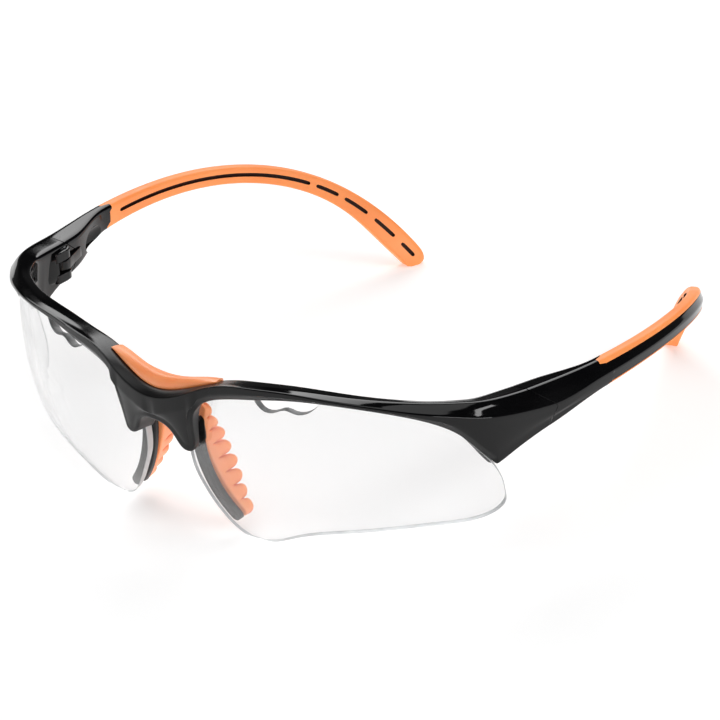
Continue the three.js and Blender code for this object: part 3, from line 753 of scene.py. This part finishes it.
def front_rings():
    """Rings of the left half of the front, from the middle of the bridge to past the seam."""
    u, z, crease_u = lower_edge().T
    along = unit(np.stack([np.gradient(u), np.gradient(z)], axis=-1))
    down = np.stack([along[:, 1], -along[:, 0]], axis=-1)
    _, _, crease, ridge, rear, depth, _ = FRONT_AT(crease_u).T
    low_depth = FRONT_AT(u)[:, 6]

    opening = window(*OPENING_SPAN, 1.2, u) * (z > 22)
    leg_outside = (u > LEG_SPAN[0]) * (u < LEG_SPAN[1])
    lip = 0.02 + LEG_LIP * window(*LEG_LIP_HEIGHTS, 1.6, z) * leg_outside * (along[:, 1] > 0.3)
    lip += SIDE_LIP * window(*SIDE_LIP_SPAN, 4.0, u)
    lip_front = lens_depth(u, z, LENS_RADIUS - LENS_THICKNESS) + LIP_CLEARANCE
    lip_front = np.clip(lip_front, 1.2, low_depth - 0.6)
    nose_side = 1 - smoothstep(8.6, 9.8, u)
    edge_reach = 0.2 + 1.0 * nose_side + 0.3 * leg_outside

    setback = LEG_SETBACK * smoothstep(*LEG_SETBACK_HEIGHTS, z) * (u < LEG_SPAN[1])

    def low_point(inset, out):
        return on_wall(u - down[:, 0] * inset, z - down[:, 1] * inset, out - setback)

    share = 0.5 * np.ones_like(u)
    on_bridge = window(CHEVRON_INNER[0], CHEVRON_OUTER[0], 1.2, crease_u)
    slope = (CHEVRON_OUTER[1] - CHEVRON_INNER[1]) / (CHEVRON_OUTER[0] - CHEVRON_INNER[0])
    line = CHEVRON_INNER[1] + slope * (crease_u - CHEVRON_INNER[0])
    line_share = np.clip((crease - line) / (crease - z), 0.15, 0.85)
    fade = smoothstep(13.0, 11.0, crease_u)
    share += (line_share - share) * fade
    proud = CREASE_PROUD + CHEVRON_PROUD * on_bridge
    middle_reach = 2.0 - 1.5 * on_bridge

    corners = np.stack([
        on_wall(crease_u, crease, CREASE_PROUD),
        on_wall(crease_u + (u - crease_u) * share, crease + (z - crease) * share,
                proud - setback * share),
        low_point(CHAMFER_WIDTH + 0.3 * (1 - opening), 0.0),
        low_point(0.0, -CHAMFER_DROP * opening),
        low_point(0.0, -lip_front + 0.1),
        low_point(-lip, -lip_front),
        low_point(-lip, -low_depth),
        on_wall((u + crease_u) / 2, (z + rear) / 2, -(depth + low_depth) / 2),
        on_wall(crease_u, rear, -depth),
        on_wall(crease_u, ridge, -RIDGE_SETBACK),
        on_wall(crease_u, (crease + 2 * ridge) / 3, -RIDGE_SETBACK / 2),
    ], axis=1)
    ones = np.ones_like(u)
    reach = np.stack([
        0.35 * ones, middle_reach, 0.15 + 0.6 * (1 - opening), edge_reach, 0.2 * ones, 0.25 * ones,
        0.5 * ones, 2.0 * ones, 1.1 * ones, 1.0 * ones, 0.5 * ones], axis=1)
    return rounded(corners, reach), u


# ---------------------------------------------------------------- temples

def bezier_table():
    t = np.linspace(0, 1, 600)[:, None]
    a, b, c, d = TEMPLE_TOP
    points = (1 - t) ** 3 * a + 3 * (1 - t) ** 2 * t * b + 3 * (1 - t) * t**2 * c + t**3 * d
    slopes = 3 * (1 - t) ** 2 * (b - a) + 6 * (1 - t) * t * (c - b) + 3 * t**2 * (d - c)
    return chord_lengths(points), points, unit(slopes)


TEMPLE_DISTANCE, TEMPLE_POINTS, TEMPLE_SLOPES = bezier_table()
TEMPLE_LENGTH = TEMPLE_DISTANCE[-1]
TEMPLE_TABLE = np.array(TEMPLE_STATIONS, float)
TEMPLE_SIZE_AT = natural_spline(TEMPLE_TABLE[:, 0], TEMPLE_TABLE[:, 1:])


def temple_size(distance):
    """Height and thickness of the temple at distances from the seam."""
    return TEMPLE_SIZE_AT(np.clip(distance, TEMPLE_TABLE[0, 0], TEMPLE_LENGTH)).T


def temple_points(distance, out, down, shrink=1.0):
    """Points of the temple. out runs from the inner face, 0, to the outer face, 1, and down from
    the top edge, 0, to the bottom edge, 1."""
    distance, out, down, shrink = np.broadcast_arrays(distance, out, down, shrink)
    inside = np.clip(distance, 0, TEMPLE_LENGTH).ravel()
    top = np.stack([np.interp(inside, TEMPLE_DISTANCE, c) for c in TEMPLE_POINTS.T], axis=-1)
    along = unit(np.stack([np.interp(inside, TEMPLE_DISTANCE, c) for c in TEMPLE_SLOPES.T], axis=-1))
    top = top + along * (distance.ravel() - inside)[:, None]
    outward = unit(np.stack([along[:, 1], -along[:, 0], np.zeros(len(along))], axis=-1))
    up = np.cross(outward, along)
    twist = TIP_TWIST * smoothstep(TIP_TWIST_START, 1, inside / TEMPLE_LENGTH)[:, None]
    turned_out = outward * np.cos(twist) - up * np.sin(twist)
    turned_up = up * np.cos(twist) + outward * np.sin(twist)
    height, thickness = temple_size(distance.ravel())
    shrink = shrink.ravel()
    side = (out.ravel() - 0.5) * thickness * shrink
    fall = (0.5 + (down.ravel() - 0.5) * shrink) * height
    points = top + turned_out * side[:, None] - turned_up * fall[:, None]
    points[:, 2] = np.maximum(points[:, 2], 0)
    return points.reshape(*distance.shape, 3)


def ridge_share(distance):
    """Where across the thickness the top ridge lies."""
    height, thickness = temple_size(distance)
    return 1 - math.tan(TEMPLE_FACET_TILT) * TEMPLE_CREASE * height / thickness


def full_section(distance, shrink=1.0):
    ridge = ridge_share(distance)
    flat = np.ones_like(ridge)
    out = np.stack([
        flat, 0.99 * flat, 0.975 * flat, 0.94 * flat, 0.6 * flat, 0.35 * flat, 0.04 * flat,
        0 * flat, 0.04 * flat, ridge, (1 + ridge) / 2], axis=1)
    down = np.broadcast_to(FULL_DOWN, out.shape)
    shrink = np.broadcast_to(np.asarray(shrink, float), flat.shape)
    corners = temple_points(distance[:, None], out, down, shrink[:, None])
    return rounded(corners, FULL_REACH * shrink[:, None])


def inlay_section(distance, grow=0.0, proud=0.0):
    """Section of the black bar let into the outer face, larger all round by grow."""
    ridge = ridge_share(distance)
    height, thickness = temple_size(distance)
    fade = 1 - 0.97 * smoothstep(INLAY_TAPER_START, INLAY_END, distance) ** 0.8
    middle = TEMPLE_CREASE
    top = middle + (INLAY_TOP - middle) * fade - grow / height
    bottom = middle + (INLAY_BOTTOM - middle) * fade + grow / height
    top_out = 1 - (1 - ridge) * (middle - top) / middle + proud / thickness
    bottom_out = 1 - 0.05 * (bottom - middle) / (0.9 - middle) + proud / thickness
    face = 1 + proud / thickness
    inner = INLAY_INNER - grow / thickness
    out = np.stack([
        face, (face + bottom_out) / 2, bottom_out, (bottom_out * 0.7 + inner * 0.3),
        (bottom_out + inner) / 2, inner + 0.12, inner, inner, inner,
        (top_out + inner) / 2, top_out], axis=1)
    level = bottom - middle
    rise = middle - top
    down = np.stack([
        middle + 0 * level, middle + level * 0.5, bottom, bottom, bottom, bottom,
        middle + level * 0.8, middle + 0 * level, middle - rise * 0.8, top, top], axis=1)
    corners = temple_points(distance[:, None], out, down)
    return rounded(corners, np.minimum(INLAY_REACH, 0.4 * fade[:, None] + 0.02))


def along_lines(section, distances, samples):
    """Rings whose points each take their own distance; distances is (rings, points)."""
    grid = np.linspace(distances.min() - 0.5, distances.max() + 0.5, samples)
    dense = section(grid)
    rings = np.empty((*distances.shape, 3))
    for point in range(distances.shape[1]):
        for axis in range(3):
            rings[:, point, axis] = np.interp(distances[:, point], grid, dense[:, point, axis])
    return rings


def blended_lines():
    """Rings from the front into the temple, past the seam on both sides."""
    front, u = front_rings()
    last = int(np.searchsorted(u, BLEND_START))
    before = front[:last + 1]
    temple_at = np.linspace(BLEND_END, BLEND_END + 1.0, 3)
    after = full_section(temple_at)
    start, end = before[-1], after[0]
    span = np.linalg.norm(end - start, axis=1, keepdims=True)
    slope_start = unit(before[-1] - before[-3]) * span
    slope_end = unit(after[1] - after[0]) * span
    t = np.linspace(0, 1, BLEND_RINGS)[1:, None, None]
    bridge = ((2 * t**3 - 3 * t**2 + 1) * start + (t**3 - 2 * t**2 + t) * slope_start
              + (3 * t**2 - 2 * t**3) * end + (t**3 - t**2) * slope_end)
    return before, bridge


def seam_position(z):
    profile = np.array(SEAM_PROFILE[::-1])
    return np.interp(z, profile[:, 1], profile[:, 0])


def cut_at_seam(lines, gap):
    """Share of the way along each line where it crosses the seam profile moved back by gap."""
    ahead = lines[:, :, 1] - seam_position(lines[:, :, 2]) - gap
    crossing = np.argmax(ahead > 0, axis=0)
    points = np.arange(lines.shape[1])
    low = ahead[crossing - 1, points]
    high = ahead[crossing, points]
    return crossing - high / (high - low)


def resampled(lines, start, end, count):
    """The same number of points on each line between two positions along it."""
    share = np.linspace(0, 1, count)[:, None]
    position = start + (end - start) * share
    index = np.clip(position.astype(int), 0, len(lines) - 2)
    part = (position - index)[..., None]
    points = np.arange(lines.shape[1])
    return lines[index, points] * (1 - part) + lines[index + 1, points] * part


def closing(ring, inset):
    """A ring just inside another, to round off the end of a loft."""
    middle = ring.mean(axis=0)
    inward = unit(middle - ring)
    return ring + inward * inset


def front_and_temple_root():
    """Rings of the left half of the front, and of the temple as far as its own section."""
    before, bridge = blended_lines()
    lines = np.concatenate([before, bridge])
    base = len(before) - SEAM_BASE
    stop = cut_at_seam(lines, -SEAM_GAP / 2)
    begin = cut_at_seam(lines, SEAM_GAP / 2)
    front_end = resampled(lines, np.full_like(stop, base), stop, SEAM_RINGS)
    temple_root = resampled(lines, begin, np.full_like(begin, len(lines) - 1.0), ROOT_RINGS)
    front = np.concatenate([lines[:base], front_end])
    return front, temple_root


def front_shape(left):
    """Skin of the whole front, with its ends rounded off at the seams."""
    end = left[-1]
    left = np.concatenate([left, [closing(end, SEAM_INSET) + [0, SEAM_BULGE, 0]]])
    right = mirrored(left[:0:-1])
    return skin(np.concatenate([right, left]))


def hinge_ear(span):
    """Ear round the screw, joined forwards to the inner wall of the end piece."""
    wall = EAR_RADIUS + EAR_OVERLAP
    outline = [(-EAR_RADIUS, -EAR_REACH), (wall, -EAR_REACH), (wall, EAR_RADIUS),
               (0, EAR_RADIUS), (-EAR_RADIUS, 0)]
    return [drum(EAR_RADIUS, *span, bevel=DRUM_BEVEL), plate(outline, *span, bevel=PLATE_BEVEL)]


def hinge_block():
    """Swelling of the inner wall that runs back into the two ears and closes the gap before them."""
    room = KNUCKLE_RADIUS + KNUCKLE_ROOM + FAIRING_GAP
    rings = []
    low = LOWER_EAR[0] + 0.1
    high = UPPER_EAR[1] - 0.1
    for y, inner, outer in HINGE_FAIRING:
        corners = [(inner + 0.5, low), (outer, low), (outer, high), (inner + 0.5, high),
                   (inner, high - 1.4), (inner, low + 1.4)]
        rings.append([(PIVOT[0] + x, PIVOT[1] - room + y, z) for x, z in corners])
    return [skin(rounded(np.array(rings), 0.9))]


def tongue_shape():
    """Arm from the knuckle back and outwards into the inside of the temple."""
    outline = [
        (KNUCKLE_RADIUS - 0.5, -0.5), (KNUCKLE_RADIUS - 0.2, TONGUE_LENGTH),
        (0.5, TONGUE_LENGTH), (-0.9, 3.4), (-KNUCKLE_RADIUS + 0.1, 1.0), (-KNUCKLE_RADIUS, -0.5)]
    return [drum(KNUCKLE_RADIUS, *TONGUE, bevel=DRUM_BEVEL),
            plate(outline, *TONGUE, bevel=PLATE_BEVEL)]


def onto_sphere(table, radius):
    """Points of the lens outline, given as x and z, carried onto a sphere about its centre."""
    flat = np.asarray(table, float) - LENS_CENTRE[[0, 2]]
    depth = -np.sqrt(LENS_RADIUS**2 - (flat**2).sum(axis=1))
    return LENS_CENTRE + np.stack([flat[:, 0], depth, flat[:, 1]], axis=-1) * radius / LENS_RADIUS


def closed_curve(tables, step):
    """Smooth line through tables of points, with a corner wherever one table meets the next."""
    lines = []
    for table in tables:
        count = max(3, round(chord_lengths(table)[-1] / step))
        lines.append(curve_through(table, count)[:-1])
    return np.concatenate(lines)


def lens_outline():
    vent = [LENS_RIM[-1], *LENS_VENT, LENS_TOP_NASAL[0]]
    top = [*LENS_TOP_NASAL, LENS_RIM[0]]
    return closed_curve([LENS_RIM, vent, top], LENS_STEP)


def pocket_shape():
    top = [LENS_RIM[-1], *LENS_TOP_NASAL, LENS_RIM[0]]
    outline = closed_curve([LENS_RIM, top], LENS_STEP)
    along = unit(np.roll(outline, -1, axis=0) - np.roll(outline, 1, axis=0))
    grown = outline + np.stack([along[:, 1], -along[:, 0]], axis=-1) * POCKET_CLEARANCE
    return lens_shell(grown, LENS_RADIUS + POCKET_CLEARANCE,
                      LENS_RADIUS - LENS_THICKNESS - POCKET_CLEARANCE, 0.0)


def lens_shell(outline, outer, inner, chamfer):
    """Shell between two spheres, drawn as rings that shrink towards the middle on both sides."""
    middle = np.array(LENS_MIDDLE)
    shares = [1, 0.99, 0.97, 0.93, 0.86, 0.77, 0.67, 0.56, 0.45, 0.34, 0.23, 0.12, 0.03]
    inwards = unit(middle - outline)
    edge = outline + inwards * chamfer

    def surface(radius):
        return [onto_sphere(middle + (edge - middle) * share, radius) for share in shares]

    rim = []
    if chamfer:
        rim = [onto_sphere(outline, outer - chamfer), onto_sphere(outline, inner + chamfer)]
    return skin(surface(outer)[::-1] + rim + surface(inner))


def paint_rim(pane):
    """Gives the second material to the band round the edge of a lens."""
    middle = np.array(placed([LENS_CENTRE])[0])
    for face in pane.data.polygons:
        centre = np.array(face.center)
        centre[0] = abs(centre[0])
        towards = unit(centre - middle)
        normal = np.array(face.normal) * [math.copysign(1, face.center.x), 1, 1]
        if abs(np.dot(towards, normal)) < LENS_FACE_ALIGNMENT:
            face.material_index = 1


def tongue_room():
    """Slot in the inner side of the end piece, which the tongue swings out of."""
    room = KNUCKLE_RADIUS + KNUCKLE_ROOM
    outline = [(-room - 3, -room), (room - 0.6, -room), (room, -room + 0.6), (room, 12),
               (-room - 3, 12)]
    return plate(outline, LOWER_EAR[1], UPPER_EAR[0])


def front_piece(rings, material):
    points, faces = front_shape(rings)
    piece = piece_from("front_moulding", points, faces, material)
    carve(piece, *both_sides(*pocket_shape()), *both_sides(*tongue_room()))
    return piece


def temple_rings(root):
    """Black part of the temple: full section as far as the border, then the inlay."""
    border = corner_values(BORDER)
    share = np.linspace(0, 1, BORDER_RINGS)[1:, None]
    full = along_lines(full_section, BLEND_END + (border - BLEND_END) * share, SHORT_SAMPLES)
    inlay_share = np.linspace(0, 1, INLAY_RINGS)[:, None] ** 1.05
    inlay_from = border + 0.05
    inlay_at = inlay_from + (INLAY_END + INLAY_OVERRUN - inlay_from) * inlay_share
    bar = along_lines(inlay_section, inlay_at, LONG_SAMPLES)
    start = closing(root[0], SEAM_INSET) - [0, SEAM_BULGE, 0]
    return np.concatenate([[start], root, full, bar])


def scoop_shape():
    """Hollow on the inner side of the temple, behind the hinge."""
    middle = temple_points(SCOOP_DISTANCE, SCOOP_OUT, SCOOP_DOWN).reshape(3)
    deep, long, high = SCOOP_RADII
    turn = np.linspace(0, 2 * math.pi, 40, endpoint=False)
    rings = []
    for polar in np.linspace(0.02, math.pi - 0.02, SCOOP_RINGS):
        rings.append(middle + np.stack([
            deep * math.sin(polar) * np.cos(turn),
            np.full_like(turn, long * math.cos(polar)),
            high * math.sin(polar) * np.sin(turn)], axis=-1))
    return skin(rings)


def temple_piece(name, root, material, flip):
    piece = piece_from(name, *turned(skin(temple_rings(root)), flip), material)
    carve(piece, turned(scoop_shape(), flip))
    return piece


def grip_rings():
    border = corner_values(BORDER) + GRIP_GAP
    share = np.linspace(0, 1, GRIP_RINGS)[:, None]
    straight_end = TEMPLE_LENGTH - TIP_START
    body = along_lines(full_section, border + (straight_end - border) * share, LONG_SAMPLES)
    tip = []
    for turn in TIP_TURNS:
        angle = turn * math.pi / 2
        shrink = max(math.cos(angle) ** 0.6, 0.05)
        distance = straight_end + (TIP_ROUND + TIP_START) * math.sin(angle)
        tip.append(full_section(np.array([distance]), shrink)[0])
    return np.concatenate([body, tip])


def channel_shape():
    distances = np.linspace(CHANNEL_START, INLAY_END + INLAY_OVERRUN, CHANNEL_RINGS)
    return skin(inlay_section(distances, GRIP_GAP, CHANNEL_PROUD))


def slot_shape(start, end):
    """Groove in the inner face of the grip, with round ends."""
    count = max(8, round(end - start))
    distance = np.linspace(start, end, count)
    distance = np.concatenate([[start], start + SLOT_WIDTH * np.array([0.08, 0.25]), distance[1:-1],
                               end - SLOT_WIDTH * np.array([0.25, 0.08]), [end]])
    to_end = np.minimum(distance - start, end - distance)
    half = SLOT_WIDTH / 2 * np.sqrt(np.clip(1 - (1 - to_end / (SLOT_WIDTH / 2)) ** 2, 0.05, 1)
                                    * (to_end < SLOT_WIDTH / 2) + (to_end >= SLOT_WIDTH / 2))
    height, thickness = temple_size(distance)
    half = half / height
    deep = SLOT_DEPTH / thickness
    low = np.full_like(half, -0.4)
    out = np.stack([low, low, deep, deep], axis=1)
    down = np.stack([SLOT_HEIGHT - half, SLOT_HEIGHT + half, SLOT_HEIGHT + half * 0.8,
                     SLOT_HEIGHT - half * 0.8], axis=1)
    return skin(temple_points(distance[:, None], out, down))


def grip_piece(name, flip):
    piece = piece_from(name, *turned(skin(grip_rings()), flip), ORANGE)
    carve(piece, turned(channel_shape(), flip))
    # the walls of the slots take a dark brown material as painted shade
    carve(piece, *[turned(slot_shape(*slot), flip) for slot in GRIP_SLOTS], inside=SLOT_PAINTED_SHADE)
    return piece


# ---------------------------------------------------------------- nose arms and pads

def behind_lens(x, z, gap):
    flat = np.stack([x, z], axis=-1).reshape(-1, 2)
    return onto_sphere(flat, LENS_RADIUS - LENS_THICKNESS - gap)[:, 1].reshape(np.shape(x))


def across_of(line):
    along = unit(np.gradient(line, axis=0))
    return np.stack([-along[:, 1], along[:, 0]], axis=-1)


def end_rounding(line, reach):
    """Width of a strip along a line, as a share: full in the middle and round at both ends."""
    share = np.linspace(0, 1, len(line))
    end = np.minimum(share, 1 - share) * chord_lengths(line)[-1]
    return np.sqrt(np.clip(1 - (1 - np.minimum(end / reach, 1)) ** 2, 0.02, 1))


def nose_arm_shape():
    line = curve_through(ARM_PATH, ARM_RINGS)
    across = across_of(line)
    half = ARM_WIDTH / 2 * end_rounding(line, 1.2)
    corners = []
    for side, back in ((-1, 0), (1, 0), (1, 1), (-1, 1)):
        x = line[:, 0] + across[:, 0] * side * half
        z = line[:, 1] + across[:, 1] * side * half
        y = behind_lens(x, z, ARM_GAP) + back * ARM_THICKNESS
        corners.append(np.stack([x, y, z], axis=-1))
    return skin(rounded(np.stack(corners, axis=1), 0.45))


def nose_pad_shape():
    """Pad with rounded lobes on its rear edge, and how deep in a groove each point lies, which sets
    the painted shade there.
    """
    line = curve_through(PAD_PATH, PAD_LOBES * RINGS_PER_LOBE + 1)
    across = across_of(line)
    share = np.linspace(0, 1, len(line))
    phase = (share * PAD_LOBES) % 1
    lobe = np.sqrt(np.clip(1 - (2 * phase - 1) ** 2, 0, 1))
    taper = natural_spline(*np.array(PAD_DEPTH_PROFILE, float).T)(share)[:, 0]
    depth = PAD_DEPTH * taper * (1 - PAD_GROOVE + PAD_GROOVE * lobe)
    blunt = end_rounding(line, 1.0)
    front = behind_lens(line[:, 0], line[:, 1], PAD_BEHIND_LENS)
    half = PAD_THICKNESS / 2
    rib = 1 - PAD_RIB + PAD_RIB * lobe
    corners = []
    painted_groove_shades = []
    for side, back, ribbed in PAD_SECTION:
        width = half * blunt * np.where(ribbed, rib, 1.0)
        y = front + back * depth
        x = line[:, 0] + across[:, 0] * side * width + PAD_FLARE * back * depth / PAD_DEPTH
        z = line[:, 1] + across[:, 1] * side * width
        corners.append(np.stack([x, y, z], axis=-1))
        # how much painted shade each point takes: most deep in a groove, on the sides of the rear
        # part
        painted_groove_shades.append((1 - lobe) * (0.45 < back < 0.9))
    rings = rounded(np.stack(corners, axis=1), 0.5)
    values = np.array([corner_values(row) for row in np.stack(painted_groove_shades, axis=1)])
    points, faces = skin(rings)
    return points, faces, np.concatenate([values.reshape(-1), [0, 0]])


def brow_pad_shape():
    """Crescent on the rear half of the bridge's top, lapping over its back."""
    u = np.linspace(-BROW_HALF_LENGTH, BROW_HALF_LENGTH, BROW_RINGS)
    share = np.abs(u) / BROW_HALF_LENGTH
    swell = np.clip(1 - 0.98 * share**1.8, 0, 1) ** 0.9
    _, _, _, ridge, rear, depth, _ = FRONT_AT(u).T
    height = BROW_HEIGHT * swell
    front = -BROW_SETBACK - 0.5 * share
    back = -depth - BROW_GAP - BROW_OVERHANG * swell
    underside = rear - 0.8 - 1.2 * swell
    corners = np.stack([
        on_wall(u, ridge + 0.1, front),
        on_wall(u, ridge + 0.1 + 0.55 * height, front - 0.25 * height),
        on_wall(u, ridge + 0.1 + height, front - 1.1 - 0.2 * height),
        on_wall(u, rear + 0.6 + height, back + 0.9),
        on_wall(u, rear + 0.3 + 0.3 * height, back),
        on_wall(u, underside, back),
        on_wall(u, underside, -depth - BROW_GAP + 0.2),
        on_wall(u, rear - 0.4, -depth - BROW_GAP + 0.2),
        on_wall(u, rear - 0.1, -depth + 0.7),
        on_wall(u, ridge - 0.5, front - 0.6),
    ], axis=1)
    return skin(rounded(corners, 0.9))


# ---------------------------------------------------------------- assembly

def attribute(piece, name, values):
    layer = piece.data.attributes.new(name, "FLOAT", "POINT")
    layer.data.foreach_set("value", np.asarray(values, float))


def fitted(piece, body, slot, *nodes):
    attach(piece, body)
    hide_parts(*nodes)
    return piece


BLACK = gloss_black()
SATIN = satin_black()
ORANGE = orange_rubber()
# painted shade: dark brown material for the walls of the grip's slots
SLOT_PAINTED_SHADE = moulded_black("slot_painted_shade", (0.05, 0.016, 0.009), (0.4, 0.55), 2200, 0.02, 0.2)
PAD = soft_pad_rubber()
LENS_EDGE = ground_edge()
CLEAR = clear_lens()
STEEL = machined_metal("steel", (0.09, 0.09, 0.095), 0.3)
BRASS = machined_metal("brass", (0.72, 0.5, 0.2), 0.3)


def add_front(rings):
    piece = front_piece(rings, BLACK)
    fitted(piece, "front", "gloss_black", "front_frame")
    bore = drum(BORE_RADIUS, LOWER_EAR[0] - 1, UPPER_EAR[1] + 1)
    seat = drum(SCREW_HEAD_RADIUS + KNUCKLE_ROOM, UPPER_EAR[1] - SCREW_HEAD_HEIGHT, UPPER_EAR[1] + 3)
    nut_seat = drum(SCREW_HEAD_RADIUS + KNUCKLE_ROOM, LOWER_EAR[0] - 1,
                    LOWER_EAR[0] + NUT_SEAT_HEIGHT, segments=6)
    for name, flip in SIDES:
        shape = merged(hinge_ear(LOWER_EAR) + hinge_ear(UPPER_EAR) + hinge_block())
        ears = piece_from(f"hinge_ears_{name}", *turned(shape, flip), BLACK)
        carve(ears, *[turned(cut, flip) for cut in (bore, seat, nut_seat)], overlapping=True)
        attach(ears, "front")


def add_side(name, flip, root):
    body = f"temple_arm_{name}"

    points, faces = lens_shell(
        lens_outline(), LENS_RADIUS, LENS_RADIUS - LENS_THICKNESS, LENS_EDGE_CHAMFER)
    points[:, 2] = np.maximum(points[:, 2], 0)
    pane = piece_from(f"lens_pane_{name}", *turned((points, faces), flip), CLEAR)
    pane.visible_shadow = False
    pane.data.materials.append(LENS_EDGE)
    paint_rim(pane)
    fitted(pane, "front", "clear_lens", f"lens_{name}")

    arm = piece_from(f"nose_arm_moulding_{name}", *turned(nose_arm_shape(), flip), SATIN)
    fitted(arm, "front", "satin_black", f"nose_arm_{name}")

    points, faces, painted_groove_shade = nose_pad_shape()
    pad = piece_from(f"nose_cushion_{name}", *turned((points, faces), flip), PAD)
    # painted shade for the grooves between the lobes
    attribute(pad, "painted_groove_shade", painted_groove_shade)
    fitted(pad, "front", "orange_rubber", f"nose_pad_{name}")

    temple = temple_piece(f"temple_moulding_{name}", root, BLACK, flip)
    fitted(temple, body, "gloss_black", f"temple_{name}")
    tongue = piece_from(f"hinge_tongue_{name}", *turned(merged(tongue_shape()), flip), BLACK)
    bore = drum(BORE_RADIUS, TONGUE[0] - 1, TONGUE[1] + 1)
    carve(tongue, turned(bore, flip), overlapping=True)
    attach(tongue, body)

    grip = grip_piece(f"temple_rubber_{name}", flip)
    fitted(grip, body, "orange_rubber", f"temple_grip_{name}")

    for node, material in ((f"hinge_screw_{name}", STEEL), (f"hinge_nut_{name}", BRASS)):
        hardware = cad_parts[node]
        hardware.data.materials.clear()
        hardware.data.materials.append(material)
        smoothed(hardware)


def add_brow_pad():
    points, faces = brow_pad_shape()
    pad = piece_from("brow_cushion", points, faces, PAD)
    # no painted groove shade on the brow cushion
    attribute(pad, "painted_groove_shade", np.zeros(len(points)))
    fitted(pad, "front", "orange_rubber", "brow_pad")


# ---------------------------------------------------------------- stage, lights and camera

def direction(azimuth, elevation):
    """From the object outwards; azimuth is measured from the front towards the wearer's left."""
    return Vector((
        math.sin(azimuth) * math.cos(elevation),
        -math.cos(azimuth) * math.cos(elevation),
        math.sin(elevation)))


def add_floor():
    half = FLOOR_SIZE / 2
    mesh = bpy.data.meshes.new("floor")
    mesh.from_pydata(
        [(-half, -half, 0), (half, -half, 0), (half, half, 0), (-half, half, 0)], [], [(0, 1, 2, 3)])
    mesh.materials.append(pale_floor())
    floor = in_scene("floor", mesh)


def add_softbox(name, azimuth, elevation, distance, width, height, power):
    light = bpy.data.lights.new(name, "AREA")
    light.shape = "RECTANGLE"
    light.size = width
    light.size_y = height
    light.energy = power
    holder = in_scene(name, light)
    towards = direction(math.radians(azimuth), math.radians(elevation))
    holder.location = CAMERA_AIM + towards * distance
    holder.rotation_euler = towards.to_track_quat("Z", "Y").to_euler()


def add_world():
    """Pale band of light along the horizon, under a dark ceiling."""
    world = bpy.data.worlds.new("studio")
    world.use_nodes = True
    tree = world.node_tree
    place = tree.nodes.new("ShaderNodeTexCoord")
    split = tree.nodes.new("ShaderNodeSeparateXYZ")
    tree.links.new(place.outputs["Generated"], split.inputs[0])
    span = [math.sin(angle) for angle in HORIZON_TOP]
    strength = mapped(tree, split.outputs["Z"], HORIZON_LIGHT, CEILING_LIGHT, span, smooth=True)
    tree.links.new(strength, tree.nodes["Background"].inputs["Strength"])
    bpy.context.scene.world = world


def add_camera():
    camera = bpy.data.cameras.new("camera")
    camera.lens = CAMERA_LENS
    camera.sensor_width = SENSOR_WIDTH
    camera.clip_start = CAMERA_NEAR
    camera.dof.use_dof = False
    holder = in_scene("camera", camera)
    towards = direction(CAMERA_AZIMUTH, CAMERA_ELEVATION)
    turn = towards.to_track_quat("Z", "Y").to_matrix().to_4x4()
    roll = Matrix.Rotation(CAMERA_ROLL, 4, "Z")
    holder.matrix_world = Matrix.Translation(CAMERA_AIM + towards * CAMERA_DISTANCE) @ turn @ roll
    bpy.context.scene.camera = holder


def build():
    front, root = front_and_temple_root()
    add_front(front)
    for name, flip in SIDES:
        add_side(name, flip, root)
    add_brow_pad()
    add_floor()
    add_world()
    for softbox in SOFTBOXES:
        add_softbox(*softbox)
    add_camera()
    bpy.context.scene.view_settings.view_transform = "Standard"


build()
